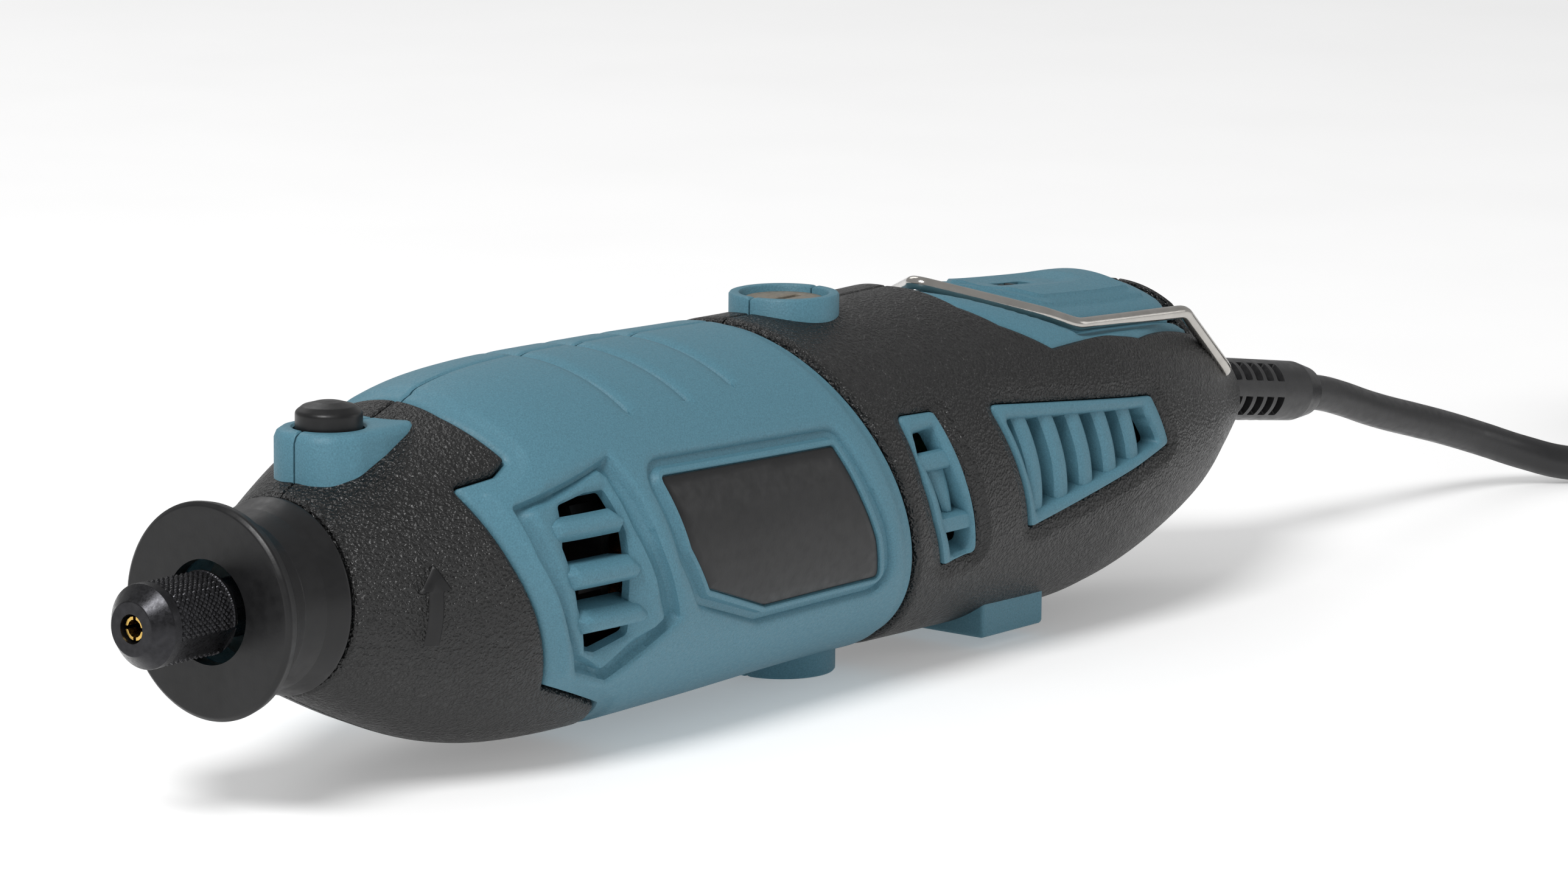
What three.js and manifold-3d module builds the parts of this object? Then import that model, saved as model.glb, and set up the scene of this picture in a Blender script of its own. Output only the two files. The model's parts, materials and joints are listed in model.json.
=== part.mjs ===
// Mains rotary hobby tool. Millimetres, +Z up. The tool's axis lies along X with the collet nut
// facing -X and the cord leaving at +X. Pieces are placed from the front face of the collet nut,
// and the whole group is moved at the end so that the origin is under the middle of the tool.
import * as THREE from "three";
import { mergeVertices } from "three/addons/utils/BufferGeometryUtils.js";
import Module from "manifold-3d";

const wasm = await Module();
wasm.setup();

// ---------------------------------------------------------------- driving dimensions
const GAP = 0.3; // clearance between neighbouring pieces
const ROUND = 24; // segments round the housing
const FINE = 14; // segments round small turned pieces
const BODY_RADIUS = 26; // widest part of the housing
const OVERMOULD = 1.6; // thickness of the soft grip layer
const WALL = 2.2; // wall of the hard shells
const SHELL_INSET = OVERMOULD + GAP; // from the outer skin to the shell under the grip
const CAVITY_INSET = SHELL_INSET + WALL; // from the outer skin to the inner space
const BODY_FRONT = 28; // where the housing starts behind the nose cap
const CAVITY_REAR = 226; // where the inner space ends
const BODY_REAR = 240; // where the tail ends and the cord boot comes out
const TOOL_LENGTH = 268; // collet nut face to the end of the boot
const REST_Z = -27.5; // underside of the lower brush collar, which the tool rests on
const SHAFT_RADIUS = 2.9;
const SHAFT_BORE = SHAFT_RADIUS + GAP;
const LOCK_X = 37.8; // axis of the spindle lock button
const BRUSH_X = 134.5; // axis of the two carbon brushes
const WHEEL = { x: 188.6, z: 12.5, radius: 9.2, width: 3 }; // speed thumbwheel
const BAIL = { x: 227, y: 13.4, z: 5.2, wire: 1 }; // hanger bail's pivot and wire radius
const CORD_RADIUS = 2.8;

// ---------------------------------------------------------------- materials
const material = (color, roughness, metalness = 0) =>
  new THREE.MeshStandardMaterial({ color, roughness, metalness });
const teal = () => material(0x3f7288, 0.55);
const softBlack = () => material(0x1c1c1e, 0.8);
const glossBlack = () => material(0x101012, 0.35);
const blackOxide = () => material(0x18181a, 0.35, 0.8);
const steel = () => material(0xb9bcc0, 0.3, 1);
const lamination = () => material(0x6d6f73, 0.45, 1);
const copper = () => material(0xb0643a, 0.4, 1);
const brass = () => material(0xc9a24b, 0.3, 1);
const carbon = () => material(0x2b2b2d, 0.7);
const phenolic = () => material(0x7a7468, 0.6);
const nylon = () => material(0xd8d5cb, 0.5);
const boardGreen = () => material(0x2f5d3a, 0.6);

// ---------------------------------------------------------------- solids
// Every shape is a BufferGeometry. Booleans turn it into a solid and back.
function toSolid(geometry) {
  let source = geometry;
  if (!geometry.userData.closed) {
    const bare = geometry.clone();
    bare.deleteAttribute("normal");
    bare.deleteAttribute("uv");
    source = mergeVertices(bare, 1e-4);
  }
  return new wasm.Manifold(
    new wasm.Mesh({
      numProp: 3,
      vertProperties: new Float32Array(source.attributes.position.array),
      triVerts: new Uint32Array(source.index.array),
    }),
  );
}

function fromSolid(solid) {
  const mesh = solid.getMesh();
  const geometry = new THREE.BufferGeometry();
  geometry.setAttribute("position", new THREE.BufferAttribute(mesh.vertProperties, 3));
  geometry.setIndex(new THREE.BufferAttribute(mesh.triVerts, 1));
  geometry.computeVertexNormals();
  geometry.userData.closed = true;
  return geometry;
}

const join = (...shapes) => fromSolid(shapes.map(toSolid).reduce((all, one) => all.add(one)));
const cut = (base, ...tools) =>
  fromSolid(tools.map(toSolid).reduce((left, tool) => left.subtract(tool), toSolid(base)));
const common = (...shapes) =>
  fromSolid(shapes.map(toSolid).reduce((left, one) => left.intersect(one)));

// A turned shape about X. The profile is a list of [x, radius] that starts and ends on the axis,
// or closes on itself.
function turned(profile, segments = FINE) {
  const points = profile.map(([x, radius]) => new THREE.Vector2(radius, x));
  return new THREE.LatheGeometry(points, segments).rotateZ(-Math.PI / 2);
}

const rod = (radius, x0, x1, segments = FINE) =>
  turned([[x0, 0], [x0, radius], [x1, radius], [x1, 0]], segments);
const tube = (outer, inner, x0, x1, segments = FINE) =>
  turned([[x0, inner], [x0, outer], [x1, outer], [x1, inner], [x0, inner]], segments);

const box = (x0, x1, y0, y1, z0, z1) =>
  new THREE.BoxGeometry(x1 - x0, y1 - y0, z1 - z0).translate(
    (x0 + x1) / 2,
    (y0 + y1) / 2,
    (z0 + z1) / 2,
  );

// Turn a shape that lies along X so that it stands along +Z, or lies along +Y, and place it.
const alongZ = (shape, x, y = 0) => shape.rotateY(-Math.PI / 2).translate(x, y, 0);
const alongY = (shape, x, z) => shape.rotateZ(Math.PI / 2).translate(x, 0, z);
const upsideDown = (shape) => shape.rotateX(Math.PI);

const shapeOf = (outline) => new THREE.Shape(outline.map(([a, b]) => new THREE.Vector2(a, b)));
const extruded = (shape, depth) =>
  new THREE.ExtrudeGeometry(shape, { depth, bevelEnabled: false, curveSegments: 6 });

// An [x, z] outline seen from the side, filled from y0 to y1.
const sidePrism = (outline, y0 = -40, y1 = 40) =>
  extruded(shapeOf(outline), y1 - y0).rotateX(Math.PI / 2).translate(0, y1, 0);
// An [x, y] outline seen from above, filled from z0 to z1.
const planPrism = (outline, z0, z1) => extruded(shapeOf(outline), z1 - z0).translate(0, 0, z0);
// A shape in the YZ plane, filled from x0 to x1.
const endPrism = (shape, x0, x1) =>
  extruded(shape, x1 - x0).rotateY(Math.PI / 2).rotateX(Math.PI / 2).translate(x0, 0, 0);

// An outline moved outwards from its middle by about the margin.
function grown(outline, margin) {
  const middle = [0, 1].map((k) => outline.reduce((sum, p) => sum + p[k], 0) / outline.length);
  return outline.map((p) => {
    const away = [p[0] - middle[0], p[1] - middle[1]];
    const stretch = 1 + (margin * Math.SQRT2) / Math.hypot(...away);
    return middle.map((m, k) => m + away[k] * stretch);
  });
}

const mirrored = (outline) => outline.map(([x, y]) => [x, -y]).reverse();
const bothSides = (half) => [...half, ...mirrored(half)];

// A round bar along a smooth curve with closed ends.
function wire(points, radius, sides, steps, tension = 0.5) {
  const path = new THREE.CatmullRomCurve3(
    points.map((p) => new THREE.Vector3(...p)),
    false,
    "catmullrom",
    tension,
  );
  const circle = [];
  for (let i = 0; i < sides; i++) {
    const angle = (2 * Math.PI * i) / sides;
    circle.push([radius * Math.cos(angle), radius * Math.sin(angle)]);
  }
  return new THREE.ExtrudeGeometry(shapeOf(circle), { steps, extrudePath: path });
}

// A compression spring standing along +Z.
function spring(radius, wireRadius, z0, z1, turns) {
  const points = [];
  const perTurn = 10;
  for (let i = 0; i <= turns * perTurn; i++) {
    const angle = (2 * Math.PI * i) / perTurn;
    const rise = (z1 - z0 - 2 * wireRadius) * (i / (turns * perTurn));
    points.push([radius * Math.cos(angle), radius * Math.sin(angle), z0 + wireRadius + rise]);
  }
  return wire(points, wireRadius, 4, turns * perTurn);
}

// ---------------------------------------------------------------- the housing's outer skin
// Stations along the axis: place and radius. A smooth curve runs through them.
const bodyCurve = new THREE.SplineCurve(
  [
    [BODY_FRONT, 13.2],
    [41, 19.2],
    [55, 24.2],
    [70, BODY_RADIUS],
    [96, BODY_RADIUS - 0.1],
    [131, 25.2],
    [178, 25.7],
    [192, 24.9],
    [205, 22.3],
    [219, 17.8],
    [230, 12.4],
    [BODY_REAR, 7],
  ].map(([x, radius]) => new THREE.Vector2(x, radius)),
);
const bodyRings = bodyCurve.getPoints(20);

function bodyRadius(x) {
  const after = bodyRings.findIndex((ring) => ring.x >= x);
  if (after < 1) return bodyRings.at(after).y;
  const [a, b] = [bodyRings[after - 1], bodyRings[after]];
  return THREE.MathUtils.mapLinear(x, a.x, b.x, a.y, b.y);
}

// The tail droops a little towards the cord.
const DROOP_FROM = 205;
const DROOP = 1.5;
const droop = (x) => -DROOP * (Math.max(0, x - DROOP_FROM) / (BODY_REAR - DROOP_FROM)) ** 2;

// The solid inside the skin, moved inwards by the inset, from one place to another. All the
// layers share the same rings, so they stay parallel.
function skin(inset, from = BODY_FRONT, to = BODY_REAR) {
  const between = bodyRings.map((ring) => ring.x).filter((x) => x > from && x < to);
  const rings = [from, ...between, to].map((x) => [x, bodyRadius(x) - inset]);
  const shape = turned([[from, 0], ...rings, [to, 0]], ROUND);
  const at = shape.attributes.position;
  for (let i = 0; i < at.count; i++) at.setZ(i, at.getZ(i) + droop(at.getX(i)));
  return shape;
}

// ---------------------------------------------------------------- outlines on the housing
// The hard middle, seen from the side: a stepped front border and a leaning rear border.
const rearBorderX = (z) => 131.6 - 0.45 * z;
const MIDDLE = [
  [51.8, 40],
  [51.8, 22],
  [54.3, 16.8],
  [51.5, 15.2],
  [45.3, 14.1],
  [49.8, 4],
  [53.5, -3.6],
  [58.6, -15],
  [74, -20.6],
  [78, -24],
  [78, -40],
  [rearBorderX(-40), -40],
  [rearBorderX(40), 40],
];
const FRONT_VENT = [
  [59, 11],
  [64.4, 12],
  [68.4, 11.9],
  [71.2, 5.5],
  [72.9, -9.8],
  [70.4, -11.6],
  [66, -11.6],
  [62.8, -8.2],
  [58.4, 5.7],
];
const LABEL = [
  [78.3, 11.9],
  [117, 10.7],
  [121.5, 2.2],
  [125.1, -3.9],
  [127.9, -10.3],
  [101, -10.1],
  [86.7, -5.2],
  [82, 1.5],
];
const SMALL_VENT = [
  [133.4, 12.8],
  [141.7, 12.3],
  [145.1, 5.2],
  [147.3, -0.1],
  [150.7, -9.6],
  [143.2, -11.2],
  [139.2, -3.3],
  [137.1, 2.2],
];
const LARGE_VENT = [
  [153.5, 11.6],
  [192.7, 7.8],
  [197.8, -0.8],
  [162, -8.3],
  [157.7, 0.8],
];
const FOOT = { x0: 163, x1: 178, half: 14, bottom: -25.8 };
const BEZEL = bothSides([
  [31, 2.5],
  [32.4, 5.2],
  [36, 7],
  [41, 7.2],
  [48.5, 6.6],
  [51.3, 2.2],
]).reverse();
// The cover on the tail: its outline from above, and the lines of its ledge and its pad.
const COVER = bothSides([
  [160.5, 4],
  [162, 10.5],
  [166, 15],
  [173.4, 19.3],
  [196, 18.7],
  [215.8, 13.7],
]).reverse();
const PAD = bothSides([
  [168, 1.6],
  [181.5, 13.2],
  [184.5, 14.2],
  [209.8, 14.2],
  [212, 11.5],
]).reverse();
const LEDGE_LINE = [
  [159, 25],
  [165.5, 23.6],
  [177.5, 19.2],
  [183, 16.8],
  [194, 16.2],
  [210, 15],
  [218, 12],
];
const PAD_LINE = [
  [164, 24.9],
  [175, 23.9],
  [184.6, 22.7],
  [198, 21.4],
  [214, 20.6],
];
const PAD_CROWN = 31; // radius of the pad's top across the tool
const COVER_THICKNESS = 2.2;
const lowered = (line, by) => line.map(([x, z]) => [x, z - by]);
// The room below or above a line, seen from the side.
const below = (line, floor) => [...line, [line.at(-1)[0], floor], [line[0][0], floor]].reverse();
const above = (line, ceiling) => [...line, [line.at(-1)[0], ceiling], [line[0][0], ceiling]];

// The hanger bail's route on one side, from the pivot to the middle of its closed end.
const BAIL_HALF = [
  [BAIL.x, BAIL.y - 5, BAIL.z],
  [BAIL.x, BAIL.y, BAIL.z],
  [BAIL.x - 1, BAIL.y + 0.5, BAIL.z + 1.2],
  [212, 16.3, 15.8],
  [208.5, 16.6, 17],
  [185, 16.5, 18.4],
  [181.6, 15.8, 18.9],
  [178.5, 14, 20.3],
  [168.5, 5, 24.5],
  [165.6, 1.8, 25.3],
];
const BAIL_ROUTE = [...BAIL_HALF.map(([x, y, z]) => [x, -y, z]), ...BAIL_HALF.toReversed()];
const bailWire = (radius, sides, steps) => wire(BAIL_ROUTE, radius, sides, steps, 0.25);
// The groove that the bail's wire lies in.
const bailGroove = () => bailWire(BAIL.wire + 1, 5, 22);

// Housing screws: [x, z], all driven from the right-hand side.
const SCREWS = [
  [53.8, 15],
  [53.8, -15],
  [153, 17],
  [153, -17],
  [211, -9.5],
];
const SCREW = { radius: 1.4, head: 2.6, tip: -13, seat: 10 };

// ---------------------------------------------------------------- housing
// The screw towers run across the housing, and the two halves share them.
const screwTowers = () => SCREWS.map(([x, z]) => alongY(rod(3.4, -16, 13, 12), x, z));
const screwHoles = () =>
  SCREWS.flatMap(([x, z]) => [
    alongY(rod(SCREW.radius + GAP, SCREW.tip - 0.5, 20, 10), x, z),
    alongY(rod(SCREW.head + GAP, SCREW.seat, 30, 12), x, z),
  ]);

// Discs left standing in the inner space to hold the bearings.
const WEBS = [
  [42.5, 49.2],
  [57.5, 64.5],
  [144, 151],
];
const webs = () => WEBS.map(([x0, x1]) => rod(BODY_RADIUS + 4, x0, x1));

const bearingSeats = () => [
  rod(8 + GAP, 21.5, 28.5),
  rod(8 + GAP, 43.2, 48.8),
  rod(8 + GAP, 58.2, 63.8),
  rod(8 + GAP, 144.7, 150.3),
  rod(5.2, 15, 46),
  rod(7.4, 28, 43.5),
  rod(6.9, 48, 59),
  rod(4.4, 60, 68),
  rod(4.4, 140, 153),
];

// The brush collars stand out of the housing at the top and at the bottom.
const COLLAR_RADIUS = 7.9;
const COLLAR_TOP = -REST_Z;
const collar = () => alongZ(rod(COLLAR_RADIUS, 17, COLLAR_TOP, 24), BRUSH_X);
const collarBore = () =>
  join(
    alongZ(rod(5.3, 10, 22), BRUSH_X),
    alongZ(rod(6.3, 20.9, COLLAR_TOP + 1), BRUSH_X),
  );

// The bezel round the lock button, with the well that the button slides in.
const BEZEL_TOP = 21.3;
const bezel = () => planPrism(BEZEL, 9.6, BEZEL_TOP);
const buttonWell = () =>
  join(
    alongZ(rod(4.5 + GAP, 11.6, BEZEL_TOP + 1), LOCK_X),
    alongZ(rod(5.9, 11.6, 18), LOCK_X),
    alongZ(rod(1.9, 7, 12), LOCK_X),
  );

// Bars are left across the vents.
const frontVentBars = () => [7.8, 0.7, -6.4].map((z) => box(50, 80, -40, 40, z - 1.9, z + 1.6));
const smallVentBars = () => [4.6, -3.8].map((z) => box(130, 155, -40, 40, z - 1, z + 1));
const largeVentBars = () =>
  [0, 1, 2, 3, 4].map((i) => {
    const x = 162.2 + 6.9 * i;
    return sidePrism([[x, 14], [x + 2.8, 14], [x + 9, -12], [x + 6.2, -12]].reverse());
  });
const vent = (outline, bars) => cut(sidePrism([...outline].reverse()), ...bars);
const shrunk = (outline, margin) => grown(outline, -margin);
const vents = () => [
  vent(FRONT_VENT, frontVentBars()),
  vent(shrunk(SMALL_VENT, 1.5), smallVentBars()),
  vent(shrunk(LARGE_VENT, 2), largeVentBars()),
];

const foot = () => box(FOOT.x0, FOOT.x1, -FOOT.half, FOOT.half, FOOT.bottom, -16);

// Posts that the cord clamp is screwed down on, one in each half.
const CLAMP_X = 214;
const CLAMP_Y = 6.6;
const CLAMP_TOP = 8;
const clampPosts = () => [1, -1].map((side) => alongZ(rod(2.6, -14, -0.6, 12), CLAMP_X, side * CLAMP_Y));
const clampHoles = () => [1, -1].map((side) => alongZ(rod(1.4, -9, 1, 10), CLAMP_X, side * CLAMP_Y));

const coverRoom = () =>
  common(
    planPrism(grown(COVER, GAP), 0, 40),
    sidePrism(above(lowered(LEDGE_LINE, COVER_THICKNESS + GAP), 40).reverse()),
  );

// Teal areas that come up through the soft layer to the outer skin.
const windows = (margin) => [
  sidePrism(grown(SMALL_VENT, margin).reverse()),
  sidePrism(grown(LARGE_VENT, margin).reverse()),
];

function hardBody() {
  const outside = join(
    skin(SHELL_INSET),
    common(skin(0), sidePrism([...MIDDLE].reverse())),
    common(skin(0.5), join(...windows(0))),
    rod(10, 17.3, BODY_FRONT + 2, 24),
  );
  const inside = cut(skin(CAVITY_INSET, 30, CAVITY_REAR), ...webs());
  const fitted = join(
    cut(outside, inside),
    common(skin(SHELL_INSET + 0.5), join(...screwTowers())),
    common(skin(SHELL_INSET + 0.5), join(...clampPosts())),
    cut(bezel(), rod(9, 28, 50)),
    collar(),
    upsideDown(collar()),
    cut(foot(), skin(CAVITY_INSET)),
  );
  return cut(
    fitted,
    ...bearingSeats(),
    collarBore(),
    upsideDown(collarBore()),
    buttonWell(),
    ...vents(),
    ...screwHoles(),
    ...clampHoles(),
    coverRoom(),
    bailGroove(),
    bailPivotHoles(),
    labelRecess(),
    bootHole(),
  );
}

const labelRecess = () => cut(sidePrism(grown(LABEL, GAP).reverse()), skin(1.5));
const bailPivotHoles = () =>
  alongY(rod(BAIL.wire + 0.2, -20, 20, 10), BAIL.x, BAIL.z);

// The cord comes out of the tail along a line that slopes down from this point.
const EXIT = new THREE.Vector3(BODY_REAR, 0, -0.6);
const EXIT_SLOPE = THREE.MathUtils.degToRad(8.5);
const onExit = (shape) => shape.rotateY(EXIT_SLOPE).translate(EXIT.x, EXIT.y, EXIT.z);
const BOOT_RADIUS = 5;
const BOOT_TIP_RADIUS = CORD_RADIUS + 1.1;
const BOOT_END =
  (TOOL_LENGTH - EXIT.x - BOOT_TIP_RADIUS * Math.sin(EXIT_SLOPE)) / Math.cos(EXIT_SLOPE);
const bootHole = () =>
  onExit(join(rod(BOOT_RADIUS + GAP, -15, 5), rod(6.6, -11.3, -8.2)));

const LEFT = () => box(0, 300, -60, -GAP / 2, -60, 60);
const RIGHT = () => box(0, 300, GAP / 2, 60, -60, 60);

// The soft layer over the shell, from one place to another.
const layer = (from, to) => cut(skin(0, from, to), skin(OVERMOULD, from, to));

function frontGrip() {
  const soft = layer(BODY_FRONT + GAP, 79);
  return cut(
    soft,
    sidePrism(MIDDLE.map(([x, z]) => [x - GAP, z]).reverse()),
    planPrism(grown(BEZEL, GAP), 5, 30),
    ...screwHoles(),
  );
}

function rearGrip() {
  const soft = layer(115, BODY_REAR);
  const behindBorder = [
    [rearBorderX(-40) + GAP, -40],
    [250, -40],
    [250, 40],
    [rearBorderX(40) + GAP, 40],
  ];
  return cut(
    common(soft, sidePrism(behindBorder)),
    ...windows(GAP),
    alongZ(rod(COLLAR_RADIUS + GAP, -40, 40, 24), BRUSH_X),
    box(FOOT.x0 - GAP, FOOT.x1 + GAP, -FOOT.half - GAP, FOOT.half + GAP, -40, -16),
    coverRoom(),
    bailGroove(),
    bailPivotHoles(),
    bootHole(),
    ...screwHoles(),
  );
}

// ---------------------------------------------------------------- nose, collet and spindle
const noseCap = () =>
  turned(
    [
      [14, 7],
      [14, 14],
      [14.5, 14.6],
      [15.9, 14.3],
      [17.8, 12.2],
      [20.5, 11.6],
      [24, 12.3],
      [BODY_FRONT - GAP, 13.4],
      [BODY_FRONT - GAP, 10 + GAP],
      [17, 10 + GAP],
      [16.4, 7],
      [14, 7],
    ],
    28,
  );

const colletNut = () =>
  turned([
    [0, 1.95],
    [0, 3.6],
    [2.2, 5.8],
    [14, 5.8],
    [14, 4.3],
    [5.6, 4.3],
    [1.2, 1.95],
    [0, 1.95],
  ]);

function collet() {
  const blank = turned([
    [0.6, 1.2],
    [0.6, 1.6],
    [1.3, 1.6],
    [4.8, 3.4],
    [5.6, 3.4],
    [6.1, 2.5],
    [22, 2.5],
    [22, 1.2],
    [0.6, 1.2],
  ]);
  const slit = 0.25;
  return cut(blank, box(0, 11, -5, 5, -slit, slit), box(0, 11, -slit, slit, -5, 5));
}

// Two cross holes, a quarter turn apart, take the lock pin.
function spindle() {
  const blank = turned([
    [6.3, 2.8],
    [6.3, 4],
    [29, 4],
    [34, 6.8],
    [41.6, 6.8],
    [42.6, 4],
    [49, 4],
    [49, SHAFT_RADIUS],
    [52.6, SHAFT_RADIUS],
    [52.6, 0],
    [24, 0],
    [24, 2.8],
    [6.3, 2.8],
  ]);
  return cut(
    blank,
    alongZ(rod(1.9, -9, 9, 12), LOCK_X),
    alongY(rod(1.9, -9, 9, 12), LOCK_X, 0),
  );
}

const bearing = (x0, bore) => tube(8, bore, x0, x0 + 5);

function lockButton() {
  return alongZ(
    turned([
      [8.2, 0],
      [8.2, 1.5],
      [16.3, 1.5],
      [16.3, 5.4],
      [17.6, 5.4],
      [17.6, 4.5],
      [23.3, 4.5],
      [24.2, 3.6],
      [24.5, 0],
    ]),
    LOCK_X,
  );
}

// ---------------------------------------------------------------- motor
const CORE = { x0: 82, x1: 118 };

// The armature's slots, seen from the end: narrow at the rim.
function slotBoxes(half, r0, r1, x0, x1) {
  const slots = [];
  for (let i = 0; i < 8; i++) slots.push(box(x0, x1, -half, half, r0, r1).rotateX((i * Math.PI) / 4));
  return slots;
}

const armatureCore = () =>
  cut(tube(12.5, SHAFT_BORE, CORE.x0, CORE.x1, 32), ...slotBoxes(1.6, 6.5, 13, CORE.x0 - 1, CORE.x1 + 1));

const armatureWindings = () =>
  join(
    turned([
      [76, SHAFT_BORE],
      [76, 8],
      [78, 11.2],
      [CORE.x0 - GAP, 11.6],
      [CORE.x0 - GAP, SHAFT_BORE],
      [76, SHAFT_BORE],
    ]),
    turned([
      [CORE.x1 + GAP, SHAFT_BORE],
      [CORE.x1 + GAP, 11.6],
      [122, 11.2],
      [124, 8],
      [124, SHAFT_BORE],
      [CORE.x1 + GAP, SHAFT_BORE],
    ]),
    ...slotBoxes(1.3, 6.8, 11, CORE.x0 - 1, CORE.x1 + 1),
  );

function coolingFan() {
  const plate = turned([
    [66, SHAFT_BORE],
    [66, 5.5],
    [71.2, 5.5],
    [71.2, 19.5],
    [72.7, 19.5],
    [72.7, SHAFT_BORE],
    [66, SHAFT_BORE],
  ]);
  const blades = [];
  for (let i = 0; i < 11; i++)
    blades.push(box(66.5, 71.5, -0.6, 0.6, 9, 19.2).rotateX((2 * Math.PI * i) / 11));
  return join(plate, ...blades);
}

const commutator = () =>
  turned([
    [127, SHAFT_BORE],
    [127, 9.2],
    [129, 9.2],
    [129, 8],
    [141, 8],
    [141, SHAFT_BORE],
    [127, SHAFT_BORE],
  ]);

// A shape made for the right-hand side (+Y), turned over to the left for side -1.
const onSide = (shape, side) => (side < 0 ? shape.rotateX(Math.PI) : shape);

// An arc-shaped bar about the axis, centred on the left or on the right.
function arcBar(inner, outer, halfAngle, side, x0, x1) {
  const shape = new THREE.Shape();
  shape.absarc(0, 0, outer, -halfAngle, halfAngle, false);
  shape.absarc(0, 0, inner, halfAngle, -halfAngle, true);
  return onSide(endPrism(shape, x0, x1), side);
}

const POLE_HALF_ANGLE = 0.85;
const statorCore = () =>
  join(
    tube(20.6, 18.2, CORE.x0, CORE.x1, 28),
    ...[1, -1].flatMap((side) => [
      onSide(box(CORE.x0, CORE.x1, 14, 19, -4.5, 4.5), side),
      arcBar(13.1, 14.6, POLE_HALF_ANGLE, side, CORE.x0, CORE.x1),
    ]),
  );

const fieldCoil = (side) =>
  cut(
    arcBar(14.9, 17.9, POLE_HALF_ANGLE, side, 77, 123),
    onSide(box(CORE.x0 - GAP, CORE.x1 + GAP, 10, 25, -4.8, 4.8), side),
  );

// ---------------------------------------------------------------- carbon brushes, at the top
const brushHolder = () =>
  cut(alongZ(rod(5, 9.6, 20.6), BRUSH_X), box(BRUSH_X - 2.8, BRUSH_X + 2.8, -3.3, 3.3, 0, 30));
const carbonBrush = () => box(BRUSH_X - 2.5, BRUSH_X + 2.5, -3, 3, 8.3, 16);
const brushSpring = () => spring(2, 0.35, 16.2, 20.7, 4).translate(BRUSH_X, 0, 0);
const brushCap = () =>
  cut(
    alongZ(rod(6, 21.2, 26.6, 24), BRUSH_X),
    box(BRUSH_X - 3.6, BRUSH_X + 3.6, -0.7, 0.7, 25.4, 30),
  );

// ---------------------------------------------------------------- speed control
const BOARD_TOP = 3;
function speedWheel() {
  const half = WHEEL.width / 2;
  const disc = alongY(rod(WHEEL.radius, -half, half, 30), WHEEL.x, WHEEL.z);
  const stub = alongY(rod(1.4, half - 0.5, half + 4, 10), WHEEL.x, WHEEL.z);
  const notches = [];
  for (let i = 0; i < 15; i++) {
    const angle = (2 * Math.PI * i) / 15;
    notches.push(
      box(-0.5, 0.5, -half - 1, half + 1, WHEEL.radius - 0.6, WHEEL.radius + 1)
        .rotateY(angle)
        .translate(WHEEL.x, 0, WHEEL.z),
    );
  }
  return join(cut(disc, ...notches), stub);
}

const speedPotentiometer = () =>
  cut(
    box(WHEEL.x - 2.5, WHEEL.x + 7, 3, 8, BOARD_TOP + GAP, 16.2),
    alongY(rod(1.7, 0, 8, 10), WHEEL.x, WHEEL.z),
  );
const circuitBoard = () => box(160, 203, -13, 13, BOARD_TOP - 1.6, BOARD_TOP);
const capacitor = () => box(167.5, 178.5, -7, 7, BOARD_TOP + GAP, 10.5);
const heatSink = () => box(163.5, 166, -8, 8, BOARD_TOP + GAP, 15);

// ---------------------------------------------------------------- covers and small pieces
// The pad's crowned top belongs to a cylinder that slopes down along the pad.
function padCrown() {
  const [first, last] = [PAD_LINE[0], PAD_LINE.at(-1)];
  const slope = Math.atan2(first[1] - last[1], last[0] - first[0]);
  return rod(PAD_CROWN, -10, 70, 72)
    .rotateY(slope)
    .translate(first[0], 0, first[1] + GAP - PAD_CROWN);
}

function tailCover() {
  const ledge = common(
    planPrism(COVER, 0, 40),
    sidePrism([...LEDGE_LINE, ...lowered(LEDGE_LINE, COVER_THICKNESS).reverse()].reverse()),
    skin(0.2),
  );
  const pad = common(
    planPrism(PAD, 10, 40),
    sidePrism(below(PAD_LINE, 5)),
    sidePrism(above(lowered(LEDGE_LINE, COVER_THICKNESS / 2), 40).reverse()),
    padCrown(),
    skin(-1.8),
  );
  const hollow = common(
    planPrism(shrunk(PAD, 2), 0, 40),
    sidePrism(below(lowered(PAD_LINE, 2), 0)),
  );
  const slot = WHEEL.width / 2 + 0.4;
  return cut(
    join(ledge, pad),
    hollow,
    alongY(rod(WHEEL.radius + 0.5, -slot, slot), WHEEL.x, WHEEL.z),
    box(WHEEL.x - 4.2, WHEEL.x + 4.2, -slot, slot, 10, 30),
    bailGroove(),
  );
}

const labelPlate = () => common(sidePrism([...LABEL].reverse()), cut(skin(0.4), skin(1.2)));

const cordBoot = () =>
  onExit(
    turned([
      [-11, CORD_RADIUS + GAP],
      [-11, 6.3],
      [-8.5, 6.3],
      [-8.5, BOOT_RADIUS],
      [BOOT_END - 4, BOOT_RADIUS - 0.3],
      [BOOT_END, BOOT_TIP_RADIUS],
      [BOOT_END, CORD_RADIUS + GAP],
      [-11, CORD_RADIUS + GAP],
    ]),
  );
const cordInside = () => onExit(rod(CORD_RADIUS, -35, BOOT_END - 0.2, 12));

// The clamp lies over the cord inside the tail.
function cordClamp() {
  const bar = box(CLAMP_X - 3, CLAMP_X + 3, -9.4, 9.4, GAP, CLAMP_TOP);
  const overCord = onExit(rod(CORD_RADIUS + GAP, -50, 0, 12));
  const under = box(CLAMP_X - 4, CLAMP_X + 4, -CORD_RADIUS - GAP, CORD_RADIUS + GAP, -1, 3);
  const holes = [1, -1].map((side) => alongZ(rod(1.6, -1, 12, 10), CLAMP_X, side * CLAMP_Y));
  return cut(bar, overCord, under, ...holes);
}
const clampScrew = (side) =>
  alongZ(
    turned([[-8, 0], [-8, 1.2], [CLAMP_TOP + GAP, 1.2], [CLAMP_TOP + GAP, 2.3], [9.4, 2.3], [9.4, 0]], 10),
    CLAMP_X,
    side * CLAMP_Y,
  );

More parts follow.
